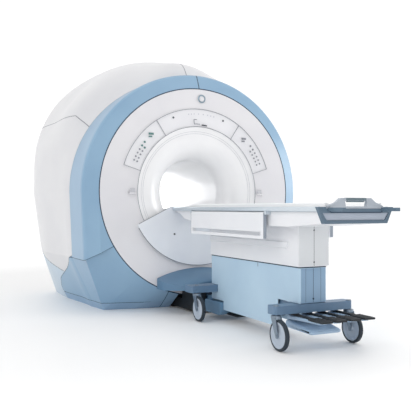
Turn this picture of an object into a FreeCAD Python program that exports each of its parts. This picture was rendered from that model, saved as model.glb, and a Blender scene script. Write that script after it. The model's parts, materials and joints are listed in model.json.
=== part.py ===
import FreeCAD, Part
import Sketcher
import math
import os

# Magnetic resonance scanner: a magnet in its covers, with a wheeled patient table docked to it.
# Frame: origin on the floor below the isocentre, +Y along the bore towards the back, +Z up.
# The table stands on the -Y side. All sizes are in millimetres.

V = FreeCAD.Vector
doc = FreeCAD.newDocument("scanner")
sheet = doc.addObject("Spreadsheet::Sheet", "dims")
parts = []


# ---------------------------------------------------------------- driving sizes
class Size(float):
    """A number that remembers the sheet expression that it comes from."""

    def __new__(cls, value, text=None):
        size = float.__new__(cls, value)
        size.text = text or repr(float(value))
        return size

    def __add__(self, other):
        return joined(self, "+", other, float(self) + float(other))

    def __radd__(self, other):
        return joined(other, "+", self, float(other) + float(self))

    def __sub__(self, other):
        return joined(self, "-", other, float(self) - float(other))

    def __rsub__(self, other):
        return joined(other, "-", self, float(other) - float(self))

    def __mul__(self, other):
        return joined(self, "*", other, float(self) * float(other))

    def __rmul__(self, other):
        return joined(other, "*", self, float(other) * float(self))

    def __truediv__(self, other):
        return joined(self, "/", other, float(self) / float(other))

    def __neg__(self):
        return joined(0.0, "-", self, -float(self))


def text_of(number):
    return getattr(number, "text", repr(float(number)))


def joined(left, sign, right, value):
    return Size(value, "(%s %s %s)" % (text_of(left), sign, text_of(right)))


def driving(name, value):
    """Write one driving size in the sheet and return it as a Size."""
    driving.row += 1
    sheet.set("A%d" % driving.row, name)
    sheet.set("B%d" % driving.row, str(value))
    sheet.setAlias("B%d" % driving.row, name)
    return Size(value, "dims." + name)


driving.row = 0

# magnet
iso_height = driving("isocentre_height", 1055)
magnet_length = driving("magnet_length", 1720)
bore_radius = driving("bore_radius", 300)
liner_wall = driving("liner_wall", 8)
disc_radius = driving("disc_radius", 930)
disc_dish = driving("disc_dish", 18)
disc_wall = driving("disc_wall", 10)
ring_radius = driving("ring_radius", 1070)
ring_slope_depth = driving("ring_slope_depth", 58)
blue_depth = driving("blue_depth", 460)
cover_wall = driving("cover_wall", 8)
seam = driving("seam_gap", 0.8)
seam_height = driving("ring_seam_height", 463)
shoulder_depth = driving("shoulder_depth", 620)
waist_half = driving("waist_half_width", 1045)
foot_half = driving("foot_half_width", 830)
toe_half = driving("toe_half_width", 806)
toe_setback = driving("toe_setback", 290)
plinth_height = driving("plinth_height", 65)
top_seam_height = driving("top_seam_height", 1765)
band_inner = driving("band_inner_radius", 590)
band_outer = driving("band_outer_radius", 750)
band_end = driving("band_end_angle", 72.5)
band_split = driving("band_split_angle", 33.5)
bell_radius = driving("bell_radius", 525)
rear_bell_radius = driving("rear_bell_radius", 450)
bib_radius = driving("bib_radius", 660)
bib_tip_half = driving("bib_tip_half_width", 577)
bib_tip_height = driving("bib_tip_height", 769)
bib_top_half = driving("bib_top_half_width", 272)
bib_top_height = driving("bib_top_height", 921)
bib_proud = driving("bib_proud", 8)
vessel_radius = driving("vessel_radius", 900)
vessel_bore = driving("vessel_bore_radius", 450)
vessel_length = driving("vessel_length", 1480)
vessel_wall = driving("vessel_wall", 12)
gradient_inner = driving("gradient_inner_radius", 345)
gradient_outer = driving("gradient_outer_radius", 440)
gradient_length = driving("gradient_length", 1300)
body_coil_length = driving("body_coil_length", 650)
foot_spacing_x = driving("anchor_spacing_x", 1100)
foot_spacing_y = driving("anchor_spacing_y", 1000)
anchor_radius = driving("anchor_hole_radius", 11)
dock_half = driving("dock_cover_half_width", 410)
dock_reach = driving("dock_cover_reach", 320)
dock_floor = driving("dock_cover_bottom", 200)
dock_crown = driving("dock_cover_crown", 372)
bay_half = driving("dock_bay_half_width", 205)

# bridge and cradle
deck_height = driving("deck_height", 905)
slide_gap = driving("slide_gap", 0.3)
bridge_half = driving("bridge_half_width", 240)
bridge_thickness = driving("bridge_thickness", 36)
carriage_half = driving("carriage_half_width", 30)
carriage_length = driving("carriage_length", 80)
cradle_travel = driving("cradle_travel", 1500)
cradle_half = driving("cradle_half_width", 215)
cradle_length = driving("cradle_length", 2050)
cradle_front = driving("cradle_front_setback", 100)
cradle_lip = driving("cradle_lip_height", 35)
cradle_sole = driving("cradle_sole", 9)
loop_top = driving("loop_top_half_width", 115)
loop_height = driving("loop_height", 63)
loop_plate = driving("loop_plate_thickness", 24)

# table
table_front = driving("table_front_gap", 16)
deck_length = driving("deck_length", 2134)
deck_half = driving("deck_half_width", 243)
deck_depth = driving("deck_depth", 105)
rail_width = driving("rail_width", 25)
rail_above = driving("rail_above_deck", 12)
rail_depth = driving("rail_depth", 32)
lift_travel = driving("lift_travel", 235)
pedestal_half = driving("pedestal_half_width", 109)
pedestal_front = driving("pedestal_front_setback", 460)
pedestal_length = driving("pedestal_length", 1280)
pedestal_bottom = driving("pedestal_bottom", 92)
pedestal_wall = driving("pedestal_wall", 5)
sleeve_gap = driving("sleeve_gap", 3)
sleeve_bottom = driving("sleeve_bottom", 523)
frame_bottom = driving("frame_bottom", 225)
frame_thick = driving("frame_thickness", 55)
crossbar_half = driving("front_bar_half_length", 345)
rear_bar_half = driving("rear_bar_half_length", 310)
front_bar_width = driving("front_bar_width", 136)
rear_bar_width = driving("rear_bar_width", 100)
bar_overhang = driving("bar_behind_stem", 18)
beam_half = driving("beam_half_width", 90)
front_caster_y = driving("front_caster_setback", 560)
wheelbase = driving("wheelbase", 1180)
track = driving("caster_track", 580)
trail = driving("caster_trail", 40)
wheel_radius = driving("wheel_radius", 100)
wheel_width = driving("wheel_width", 32)
stem_radius = driving("stem_radius", 11)
fork_plate = driving("fork_plate", 5)
board_length = driving("arm_board_length", 1137)
board_front = driving("arm_board_setback", 440)
board_thick = driving("arm_board_thickness", 28)
board_height = driving("arm_board_height", 180)
board_gap = driving("arm_board_gap", 17)
hinge_pin = driving("hinge_pin_radius", 4)
pedal_pivot_y = driving("pedal_pivot_setback", 1570)
pedal_pivot_z = driving("pedal_pivot_height", 200)
pedal_reach = driving("pedal_reach", 490)
pedal_pitch = driving("pedal_pitch", 110)
pedal_last = driving("last_pedal_x", 205)
pedal_shaft_radius = driving("pedal_shaft_radius", 8)
cylinder_radius = driving("lift_cylinder_radius", 50)
rod_radius = driving("lift_rod_radius", 25)
push_top = driving("push_handle_top_half", 285)
push_bottom = driving("push_handle_bottom_half", 239)
push_height = driving("push_handle_height", 90)
push_rim = driving("push_handle_rim", 20)
push_thick = driving("push_handle_thickness", 26)
grip_reach = driving("push_grip_reach", 138)
grip_spacing = driving("push_grip_half_spacing", 202)
doc.recompute()

front = -magnet_length / 2
back = magnet_length / 2
frame_top = frame_bottom + frame_thick


# ---------------------------------------------------------------- small helpers
def bind(thing, name, size):
    """Tie a property of an object to the sheet, or set it when it is a plain number."""
    if isinstance(size, Size):
        thing.setExpression(name, size.text)
    else:
        thing.setExpression(name, repr(float(size)))


def place(thing, at, turn=None):
    """Set an object's placement, with each coordinate tied to the sheet."""
    rotation = turn or FreeCAD.Rotation()
    thing.Placement = FreeCAD.Placement(V(*[float(c) for c in at]), rotation)
    for letter, size in zip("xyz", at):
        bind(thing, "Placement.Base." + letter, size)


ALONG_Y = FreeCAD.Rotation(V(1, 0, 0), -90)
ALONG_X = FreeCAD.Rotation(V(0, 1, 0), 90)


def box(name, x0, x1, y0, y1, z0, z1):
    solid = doc.addObject("Part::Box", name)
    bind(solid, "Length", x1 - x0)
    bind(solid, "Width", y1 - y0)
    bind(solid, "Height", z1 - z0)
    place(solid, (x0, y0, z0))
    return solid


def cylinder(name, radius, length, at, turn=None):
    solid = doc.addObject("Part::Cylinder", name)
    bind(solid, "Radius", radius)
    bind(solid, "Height", length)
    place(solid, at, turn)
    return solid


def keep(thing, label):
    """Mark an object of the document as one finished sub-part."""
    thing.Label = label
    parts.append(thing)
    return thing


def fuse(name, *solids):
    union = doc.addObject("Part::MultiFuse", name)
    union.Shapes = list(solids)
    return union


def common(name, *solids):
    shared = doc.addObject("Part::MultiCommon", name)
    shared.Shapes = list(solids)
    return shared


def cut(name, base, *tools):
    result = doc.addObject("Part::Cut", name)
    result.Base = base
    result.Tool = tools[0] if len(tools) == 1 else fuse(name + "_tools", *tools)
    return result


def shaped(label, shape):
    """Keep a shape that was worked out with Part's own functions."""
    feature = doc.addObject("Part::Feature", label)
    feature.Shape = shape
    return keep(feature, label)


def raw(name, shape):
    feature = doc.addObject("Part::Feature", name)
    feature.Shape = shape
    return feature


def body(label):
    return keep(doc.addObject("PartDesign::Body", label), label)


def sketch_on(owner, role, name, offset=0.0):
    sketch = owner.newObject("Sketcher::SketchObject", name)
    plane = [item for item in owner.Origin.OriginFeatures if item.Role == role][0]
    sketch.AttachmentSupport = (plane, [""])
    sketch.MapMode = "FlatFace"
    bind(sketch, "AttachmentOffset.Base.z", offset)
    return sketch


def pin_point(sketch, edge, end, x, y):
    """Fix one point of a sketch by its two coordinates."""
    for kind, size, axis in (("DistanceX", x, -2), ("DistanceY", y, -1)):
        if abs(float(size)) < 1e-9:
            sketch.addConstraint(Sketcher.Constraint("PointOnObject", edge, end, axis))
            continue
        index = sketch.addConstraint(Sketcher.Constraint(kind, -1, 1, edge, end, float(size)))
        bind(sketch, "Constraints[%d]" % index, size)


def outline(sketch, points):
    """Draw a closed outline of straight lines through points given as (x, y) sizes."""
    start = sketch.GeometryCount
    count = len(points)
    for i, point in enumerate(points):
        after = points[(i + 1) % count]
        sketch.addGeometry(Part.LineSegment(V(float(point[0]), float(point[1]), 0),
                                            V(float(after[0]), float(after[1]), 0)), False)
    for i in range(count):
        following = start + (i + 1) % count
        sketch.addConstraint(Sketcher.Constraint("Coincident", start + i, 2, following, 1))
    for i, point in enumerate(points):
        pin_point(sketch, start + i, 1, point[0], point[1])
    return sketch


def circle(sketch, x, y, radius):
    edge = sketch.addGeometry(Part.Circle(V(float(x), float(y), 0), V(0, 0, 1), float(radius)), False)
    index = sketch.addConstraint(Sketcher.Constraint("Radius", edge, float(radius)))
    bind(sketch, "Constraints[%d]" % index, radius)
    pin_point(sketch, edge, 3, x, y)
    return sketch


def pad(owner, sketch, length, both_ways=False):
    feature = owner.newObject("PartDesign::Pad", owner.Name + "_pad")
    feature.Profile = sketch
    bind(feature, "Length", length)
    feature.Midplane = both_ways
    return feature


def pocket(owner, sketch, length, both_ways=False, reverse=False):
    """Cut a sketch out of a body, and make sure that the cut took something away."""
    doc.recompute()
    before = owner.Shape.Volume
    feature = owner.newObject("PartDesign::Pocket", owner.Name + "_pocket")
    feature.Profile = sketch
    bind(feature, "Length", length)
    feature.Midplane = both_ways
    feature.Reversed = reverse
    doc.recompute()
    if owner.Shape.Volume > before - 1e-3:
        raise RuntimeError("the pocket cut nothing in " + owner.Label)
    return feature


def revolve(owner, sketch):
    feature = owner.newObject("PartDesign::Revolution", owner.Name + "_turned")
    feature.Profile = sketch
    feature.ReferenceAxis = (sketch, ["V_Axis"])
    feature.Angle = 360
    return feature


def turned(label, points, at, turn=ALONG_Y):
    """A body of revolution; its profile is (radius, distance along the axis)."""
    owner = body(label)
    profile = outline(sketch_on(owner, "XZ_Plane", label + "_profile"), points)
    revolve(owner, profile)
    place(owner, at, turn)
    return owner


def rounded(name, thing, radius, choose):
    """Round the edges of an object that a test picks out."""
    doc.recompute()
    feature = doc.addObject("Part::Fillet", name)
    feature.Base = thing
    edges = []
    for number, edge in enumerate(thing.Shape.Edges, 1):
        if choose(edge):
            edges.append((number, float(radius), float(radius)))
    feature.Edges = edges
    return feature


def prism_x(points, x0, x1):
    """A straight solid along X whose section is a list of (y, z)."""
    wire = Part.makePolygon([V(x0, y, z) for y, z in points + points[:1]])
    return Part.Face(wire).extrude(V(x1 - x0, 0, 0))


def prism_y(points, y0, y1):
    """A straight solid along Y whose section is a list of (x, z)."""
    wire = Part.makePolygon([V(x, y0, z) for x, z in points + points[:1]])
    return Part.Face(wire).extrude(V(0, y1 - y0, 0))


def disc_solid(radius, y0, y1):
    return Part.makeCylinder(radius, y1 - y0, V(0, y0, iso_height), V(0, 1, 0))


def mirrored(shape):
    return shape.mirror(V(0, 0, 0), V(1, 0, 0))


# ---------------------------------------------------------------- shells of the magnet
FAR = 3000.0


TURNS = [math.radians(turn) for turn in (0.0, 22.5, 45.0, 67.5, 90.0)]
# Each row is one place along Y: its depth behind the front, then how far the housing stands outside the
# ring at each of the five turns from level to upright, then at the waist and at the foot.
HOUSING = [(260.0, (-70.0, -70.0, -70.0, -40.0, 0.0), -65.0, -50.0),
           (380.0, (-35.0, -32.0, -25.0, 70.0, 155.0), -35.0, -30.0),
           (460.0, (0.0, 3.0, 30.0, 125.0, 188.0), 0.0, 0.0),
           (620.0, (35.0, 80.0, 165.0, 205.0, 220.0), 5.0, 15.0),
           (860.0, (65.0, 140.0, 215.0, 262.0, 275.0), 15.0, 35.0),
           (1510.0, (95.0, 175.0, 255.0, 312.0, 332.0), 40.0, 75.0),
           (1720.0, (65.0, 130.0, 225.0, 280.0, 300.0), 10.0, 65.0)]


def closed_with_mirror(y, half, curve):
    """Close an outline: legs on both sides of the arch, and a straight floor line."""
    left = [V(x, y, z) for x, z in half]
    right = [V(-p.x, p.y, p.z) for p in reversed(left)]
    edges = [Part.makeLine(left[i], left[i + 1]) for i in range(len(left) - 1)]
    edges.append(curve)
    edges += [Part.makeLine(right[i], right[i + 1]) for i in range(len(right) - 1)]
    edges.append(Part.makeLine(right[-1], left[0]))
    return Part.Wire(edges)


def housing_wire(y, row, inset):
    """The outline of the white housing: a free arch on legs that lean in to the floor."""
    reaches = [ring_radius + out - inset for out in row[1]]
    arch = [V(-r * math.cos(turn), y, iso_height + r * math.sin(turn)) for r, turn in zip(reaches, TURNS)]
    arch += [V(-p.x, y, p.z) for p in reversed(arch[:-1])]
    curve = Part.BSplineCurve()
    curve.interpolate(Points=arch, InitialTangent=V(0, 0, 1), FinalTangent=V(0, 0, -1))
    legs = [(-(foot_half + row[3] - inset), -inset), (-(waist_half + row[2] - inset), float(seam_height)),
            (arch[0].x, arch[0].z)]
    return closed_with_mirror(y, legs, curve.toShape())


def shell_solid(inset):
    """The white housing: it swells out behind the ring to a soft shoulder, then runs back."""
    scale = magnet_length / HOUSING[-1][0]
    wires = []
    for row in HOUSING:
        wires.append(housing_wire(float(front + row[0] * scale), row, inset))
    return Part.makeLoft(wires, True, False)


def ring_wire(y, reach, waist, low):
    """The outline of the coloured ring: a half circle on legs that lean in below the waist."""
    start = V(-reach, y, float(iso_height))
    top = V(0, y, iso_height + reach)
    curve = Part.Arc(start, top, V(reach, y, float(iso_height))).toShape()
    return closed_with_mirror(y, [(-waist, low), (-waist, float(seam_height)), (-reach, float(iso_height))], curve)


def ring_prism(grow, y0, y1):
    """The space of the coloured front ring, for cutting it out of the housing."""
    wire = ring_wire(y0, ring_radius + grow, waist_half + grow, -100.0)
    return Part.Face(wire).extrude(V(0, y1 - y0, 0))


def ring_solid(inset):
    """The front ring: its face slopes back from the disc to a soft edge, then runs straight."""
    rise = ring_radius - disc_radius
    depth = float(ring_slope_depth)
    stations = [(disc_radius + 8, 0.0), (ring_radius - 0.12 * rise, 0.88 * depth),
                (ring_radius - 0.03 * rise, 1.15 * depth), (ring_radius, 1.6 * depth),
                (ring_radius, blue_depth if inset == 0 else blue_depth + 50)]
    wires = []
    for radius, y in stations:
        reach = radius - inset
        shift = inset if y < 2 * depth else 0.0
        waist = reach - (ring_radius - waist_half)
        wires.append(ring_wire(float(front + y + shift), reach, waist, 100.0 - inset))
    return Part.makeLoft(wires, True, True)


def below_ring_seam(drop):
    """Everything under the slanting seam between the ring and the base covers."""
    slope = 0.496
    outer = 1300.0
    inner = 600.0
    reach = float(waist_half)
    outer_z = seam_height - slope * (outer - reach) - drop
    inner_z = seam_height + slope * (reach - inner) - drop
    return prism_y([(-outer, -100.0), (-outer, outer_z), (-inner, inner_z), (inner, inner_z),
                    (outer, outer_z), (outer, -100.0)], -FAR, FAR)


def base_solids(inset):
    """The base cover in two solids: its trunk, and the nose from the disc's edge to the toe."""
    top_z = 620.0 + inset
    waist_z = float(seam_height)
    toe_y = front + toe_setback
    knee_y = front + 80.0
    lean = (toe_y - knee_y) / waist_z
    low_z = -inset
    knee_half = waist_half - 22 - inset
    flare = (ring_radius - waist_half) * (top_z - waist_z) / (iso_height - waist_z)
    keel = 70.0

    def outline(place, half_foot, half_knee):
        points = [V(-0.74 * half_foot, place(-keel), -keel), V(-half_foot, place(low_z), low_z),
                  V(-half_knee, place(waist_z), waist_z), V(-half_knee - flare, place(top_z), top_z)]
        points += [V(-p.x, p.y, p.z) for p in reversed(points)]
        return Part.makePolygon(points + points[:1])

    past = 9.0 if inset else 0.0

    def slanted(shift):
        return outline(lambda z: toe_y - lean * z + shift, toe_half - inset, knee_half)

    upright = outline(lambda z: float(front + blue_depth) + past, foot_half - inset, waist_half - inset)

    def rim(radius, y):
        def at(angle):
            turn = math.radians(angle)
            return V(radius * math.cos(turn), y, iso_height + radius * math.sin(turn))

        def arc(start, end):
            return Part.Arc(at(start), at((start + end) / 2), at(end)).toShape()

        marks = [247.0, 232.0, 212.0, 200.0, 340.0, 328.0, 308.0, 293.0, 247.0]
        edges = []
        for start, end in zip(marks, marks[1:]):
            straight = start == 200.0
            edges.append(Part.makeLine(at(start), at(end)) if straight else arc(start, end))
        return Part.Wire(edges)

    trunk = Part.makeLoft([slanted(-past), upright], True, True)
    nose = Part.makeLoft([rim(disc_radius + 8 - inset, front + inset + past), slanted(past)], True, True)
    return trunk, nose


def build_covers():
    """Split the three shells along the seams into the cover panels."""
    wall = float(cover_wall)
    gap = float(seam)
    disc_hole = disc_solid(disc_radius + seam, front - 50, front + 400)
    seam_y = front + blue_depth
    edge = [(seam_y, 480.0), (seam_y + 170, 425.0), (seam_y + 350, 340.0), (seam_y + 670, 215.0),
            (seam_y + 775, 118.0), (seam_y + 740, 20.0), (seam_y + 740, -100.0)]
    blue_side = prism_x([(seam_y - FAR, -100.0), (seam_y - FAR, 700.0), (seam_y, 700.0)] + edge, -FAR, FAR)
    grown = [(y + gap, z + gap if z > 0 else z) for y, z in edge]
    blue_side_gap = prism_x([(seam_y - FAR, -100.0), (seam_y - FAR, 700.0), (seam_y + gap, 700.0)] + grown,
                            -FAR, FAR)

    ring = ring_solid(0.0).cut(ring_solid(wall)).cut(disc_hole).cut(below_ring_seam(0.0))
    half = Part.makeBox(FAR, 2 * FAR, 2 * FAR, V(gap / 2, -FAR, -FAR))
    shaped("ring_cover_right", ring.common(half))
    shaped("ring_cover_left", ring.common(mirrored(half)))

    housing = shell_solid(0.0).cut(shell_solid(wall))
    behind = Part.makeBox(2 * FAR, FAR, 2 * FAR, V(-FAR, seam_y, -FAR))
    skins = [housing.common(blue_side).common(behind)]
    bay = Part.makeBox(2 * bay_half, 700.0, 195.0 + 100.0, V(-bay_half, front - 100, -100.0))
    for whole, hollow in zip(base_solids(0.0), base_solids(wall)):
        skin = whole.cut(hollow).cut(disc_hole).common(below_ring_seam(gap))
        skins.append(skin.cut(bay))
    plinth_top = float(plinth_height)
    low = Part.makeBox(2 * FAR, 2 * FAR, plinth_top, V(-FAR, -FAR, 0.0))
    side = Part.makeBox(FAR, 2 * FAR, FAR, V(300.0 + gap, -FAR, plinth_top + gap))
    middle = Part.makeBox(600.0, 2 * FAR, FAR, V(-300.0, -FAR, plinth_top + gap))
    for label, region in (("toe_plinth", low), ("base_cover_right", side),
                          ("base_cover_left", mirrored(side)), ("base_cover_centre", middle)):
        pieces = [skin.common(region) for skin in skins]
        pieces = [piece for piece in pieces if piece.Solids]
        shaped(label, pieces[0].fuse(pieces[1:]))

    white = housing.cut(ring_prism(gap, -FAR, seam_y + gap)).cut(blue_side_gap)
    kink_y = front + shoulder_depth
    upper = [(kink_y - 700, top_seam_height - 483), (kink_y, top_seam_height), (back + 50, top_seam_height - 20)]
    over = prism_x(upper + [(back + 50, FAR), (kink_y - 700, FAR)], -FAR, FAR)
    under = prism_x([(y, z - gap) for y, z in upper] + [(back + 50, -100.0), (kink_y - 700, -100.0)],
                    -FAR, FAR)
    skirt_line = [(seam_y - 200, 215.0), (seam_y + 490, 296.0), (back + 50, 450.0)]
    skirt = prism_x(skirt_line + [(back + 50, -100.0), (seam_y - 200, -100.0)], -FAR, FAR)
    panel = prism_x([(y, z + gap) for y, z in skirt_line] + [(back + 50, FAR), (seam_y - 200, FAR)],
                    -FAR, FAR)
    top = white.common(over)
    shaped("top_cover_right", top.common(half))
    shaped("top_cover_left", top.common(mirrored(half)))
    flank = white.common(under)
    shaped("side_panel_right", flank.common(panel).common(half))
    shaped("side_panel_left", flank.common(panel).common(mirrored(half)))
    shaped("rear_skirt_right", flank.common(skirt).common(half))
    shaped("rear_skirt_left", flank.common(skirt).common(mirrored(half)))


def build_rear_cover():
    """The flat back panel with its own shallow bell around the bore."""
    inset = float(cover_wall + seam)
    panel = Part.Face(housing_wire(float(back) - 14, HOUSING[-1], inset)).extrude(V(0, float(cover_wall), 0))
    panel = panel.cut(Part.makeBox(2 * FAR, 2 * FAR, 100.0, V(-FAR, -FAR, -88.0)))
    panel = panel.cut(disc_solid(rear_bell_radius, 0.0, back + 50))
    wall = float(liner_wall)
    inner = float(bore_radius)
    end = float(back) - 6
    reach = rear_bell_radius + wall - inner
    start = end - reach
    near = V(inner + reach * (1 - math.sqrt(0.5)), start + reach * math.sqrt(0.5), 0)
    curve = Part.Arc(V(inner, start, 0), near, V(rear_bell_radius + wall, end, 0))
    edges = [curve.toShape()]
    outer = [V(rear_bell_radius + wall, end, 0), V(rear_bell_radius + wall, end - 2 * wall, 0),
             V(inner + wall, start, 0), V(inner, start, 0)]
    edges += [Part.makeLine(outer[i], outer[i + 1]) for i in range(3)]
    section = Part.Face(Part.Wire(edges))
    bell = section.revolve(V(0, 0, 0), V(0, 1, 0), 360)
    bell.translate(V(0, 0, iso_height))
    shaped("rear_cover", panel.fuse(bell))


def build_disc():
    """The dished front disc with three inlaid sector panels and the bell in its middle."""
    wall = float(disc_wall)
    slope = disc_dish / (disc_radius - band_inner)

    def face_y(radius):
        return front + disc_dish - slope * (radius - band_inner)

    def sector(r0, r1, depth, start, sweep):
        y0 = face_y(r0)
        y1 = face_y(r1)
        section = Part.Face(Part.makePolygon([V(r0, y0, 0), V(r1, y1, 0), V(r1, y1 + depth, 0),
                                              V(r0, y0 + depth, 0), V(r0, y0, 0)]))
        solid = section.revolve(V(0, 0, 0), V(0, 1, 0), sweep)
        solid.rotate(V(0, 0, 0), V(0, 1, 0), start)
        solid.translate(V(0, 0, iso_height))
        return solid

    disc = sector(float(band_inner), float(disc_radius), wall, 0.0, 360.0)
    inlay = 4.0
    line = 1.5
    spans = {"control_panel_right": (band_split, band_end), "control_panel_left": (-band_end, -band_split),
             "display_panel": (-band_split, band_split)}
    for label, (low, high) in spans.items():
        low_turn = -90.0 + low
        sweep = high - low
        trim = math.degrees(line / band_outer)
        recess = sector(band_inner + 6, float(band_outer), inlay, low_turn, sweep)
        disc = disc.cut(recess)
        panel = sector(band_inner + 6 + line, band_outer - line, inlay - 0.3, low_turn + trim,
                       sweep - 2 * trim)
        shaped(label, panel)
    hold_radius = 634.0
    hold_depth = face_y(hold_radius) + 5.0 - (front - 20.0)
    for side in (-1, 1):
        corner = V(side * hold_radius - 36.0, front - 20.0, iso_height - 34.0)
        disc = disc.cut(Part.makeBox(72.0, hold_depth, 32.0, corner))
    shaped("front_disc", disc)


def build_bell():
    """The smooth white funnel from the disc into the bore, then the straight liner."""
    owner = body("flare_bell")
    sketch = sketch_on(owner, "XZ_Plane", "bell_profile")
    wall = liner_wall
    mouth_y = front + disc_dish
    lip_y = mouth_y + 17
    turn = bell_radius - bore_radius
    end_y = lip_y + turn
    points = [(bore_radius, end_y), (bell_radius, lip_y), (band_inner - seam, mouth_y),
              (band_inner - seam, mouth_y + wall), (bell_radius, lip_y + wall), (bore_radius + wall, end_y)]
    values = [(float(a), float(b)) for a, b in points]
    centre = V(float(bell_radius), float(end_y), 0)
    first = Part.ArcOfCircle(Part.Circle(centre, V(0, 0, 1), float(turn)), math.pi, 1.5 * math.pi)
    second = Part.ArcOfCircle(Part.Circle(centre, V(0, 0, 1), float(turn - wall)), math.pi, 1.5 * math.pi)
    sketch.addGeometry(first, False)
    for a, b in ((1, 2), (2, 3), (3, 4)):
        sketch.addGeometry(Part.LineSegment(V(values[a][0], values[a][1], 0),
                                            V(values[b][0], values[b][1], 0)), False)
    sketch.addGeometry(second, False)
    sketch.addGeometry(Part.LineSegment(V(values[5][0], values[5][1], 0),
                                        V(values[0][0], values[0][1], 0)), False)
    for joint in ((0, 2, 1, 1), (1, 2, 2, 1), (2, 2, 3, 1), (3, 2, 4, 2), (4, 1, 5, 1), (5, 2, 0, 1)):
        sketch.addConstraint(Sketcher.Constraint("Coincident", *joint))
    for edge, end, point in ((0, 1, 0), (0, 2, 1), (1, 2, 2), (2, 2, 3), (3, 2, 4), (4, 1, 5)):
        pin_point(sketch, edge, end, points[point][0], points[point][1])
    for edge, radius in ((0, turn), (4, turn - wall)):
        index = sketch.addConstraint(Sketcher.Constraint("Radius", edge, float(radius)))
        bind(sketch, "Constraints[%d]" % index, radius)
    revolve(owner, sketch)
    place(owner, (0.0, 0.0, iso_height), ALONG_Y)

    start = end_y + slide_gap
    end = back - 6 - (rear_bell_radius + liner_wall - bore_radius) - slide_gap
    turned("bore_liner", [(bore_radius, start), (bore_radius + liner_wall, start),
                          (bore_radius + liner_wall, end), (bore_radius, end)],
           (0.0, 0.0, iso_height))


def build_bib():
    """The lower front cover; a notch in its top edge lets the bridge through."""
    tip = math.atan2(bib_tip_height - iso_height, -bib_tip_half)
    reach = float(bib_radius)
    low_tip = V(reach * math.cos(tip), 0, iso_height + reach * math.sin(tip))
    high_tip = V(-low_tip.x, 0, low_tip.z)
    bottom = V(0, 0, iso_height - reach)
    corner = V(-bib_top_half, 0, float(bib_top_height))
    other = V(float(bib_top_half), 0, float(bib_top_height))
    edges = [Part.Arc(low_tip, bottom, high_tip).toShape(), Part.makeLine(high_tip, other),
             Part.makeLine(other, corner), Part.makeLine(corner, low_tip)]
    plate = Part.Face(Part.Wire(edges))
    plate.translate(V(0, front - bib_proud, 0))
    plate = plate.extrude(V(0, bib_proud + disc_dish - 4, 0))
    notch_half = bridge_half + seam
    notch_low = deck_height - slide_gap - bridge_thickness - seam
    notch = Part.makeBox(2 * notch_half, 200.0, 500.0, V(-notch_half, front - 100, notch_low))
    shaped("bib_cover", plate.cut(notch))


def build_bridge():
    """The fixed track in the bore that carries the cradle, and the carriage that draws it in."""
    y0 = front - 5
    y1 = back - 60
    top = deck_height - slide_gap
    low = top - bridge_thickness
    slab = box("bridge_slab", -bridge_half, bridge_half, y0, y1, low, top)
    round_bore = cylinder("bridge_round", bore_radius - slide_gap, y1 - y0, (0.0, y0, iso_height), ALONG_Y)
    slot = box("bridge_slot", -(carriage_half + slide_gap), carriage_half + slide_gap, y0 + 40,
               y0 + 40 + carriage_length + cradle_travel + 20, top - 28, top + 10)
    keep(cut("patient_bridge", common("bridge_blank", slab, round_bore), slot), "patient_bridge")
    carriage_y = y0 + 45
    keep(box("drive_carriage", -carriage_half, carriage_half, carriage_y, carriage_y + carriage_length,
             top - 28 + slide_gap, top - 1), "drive_carriage")


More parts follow.
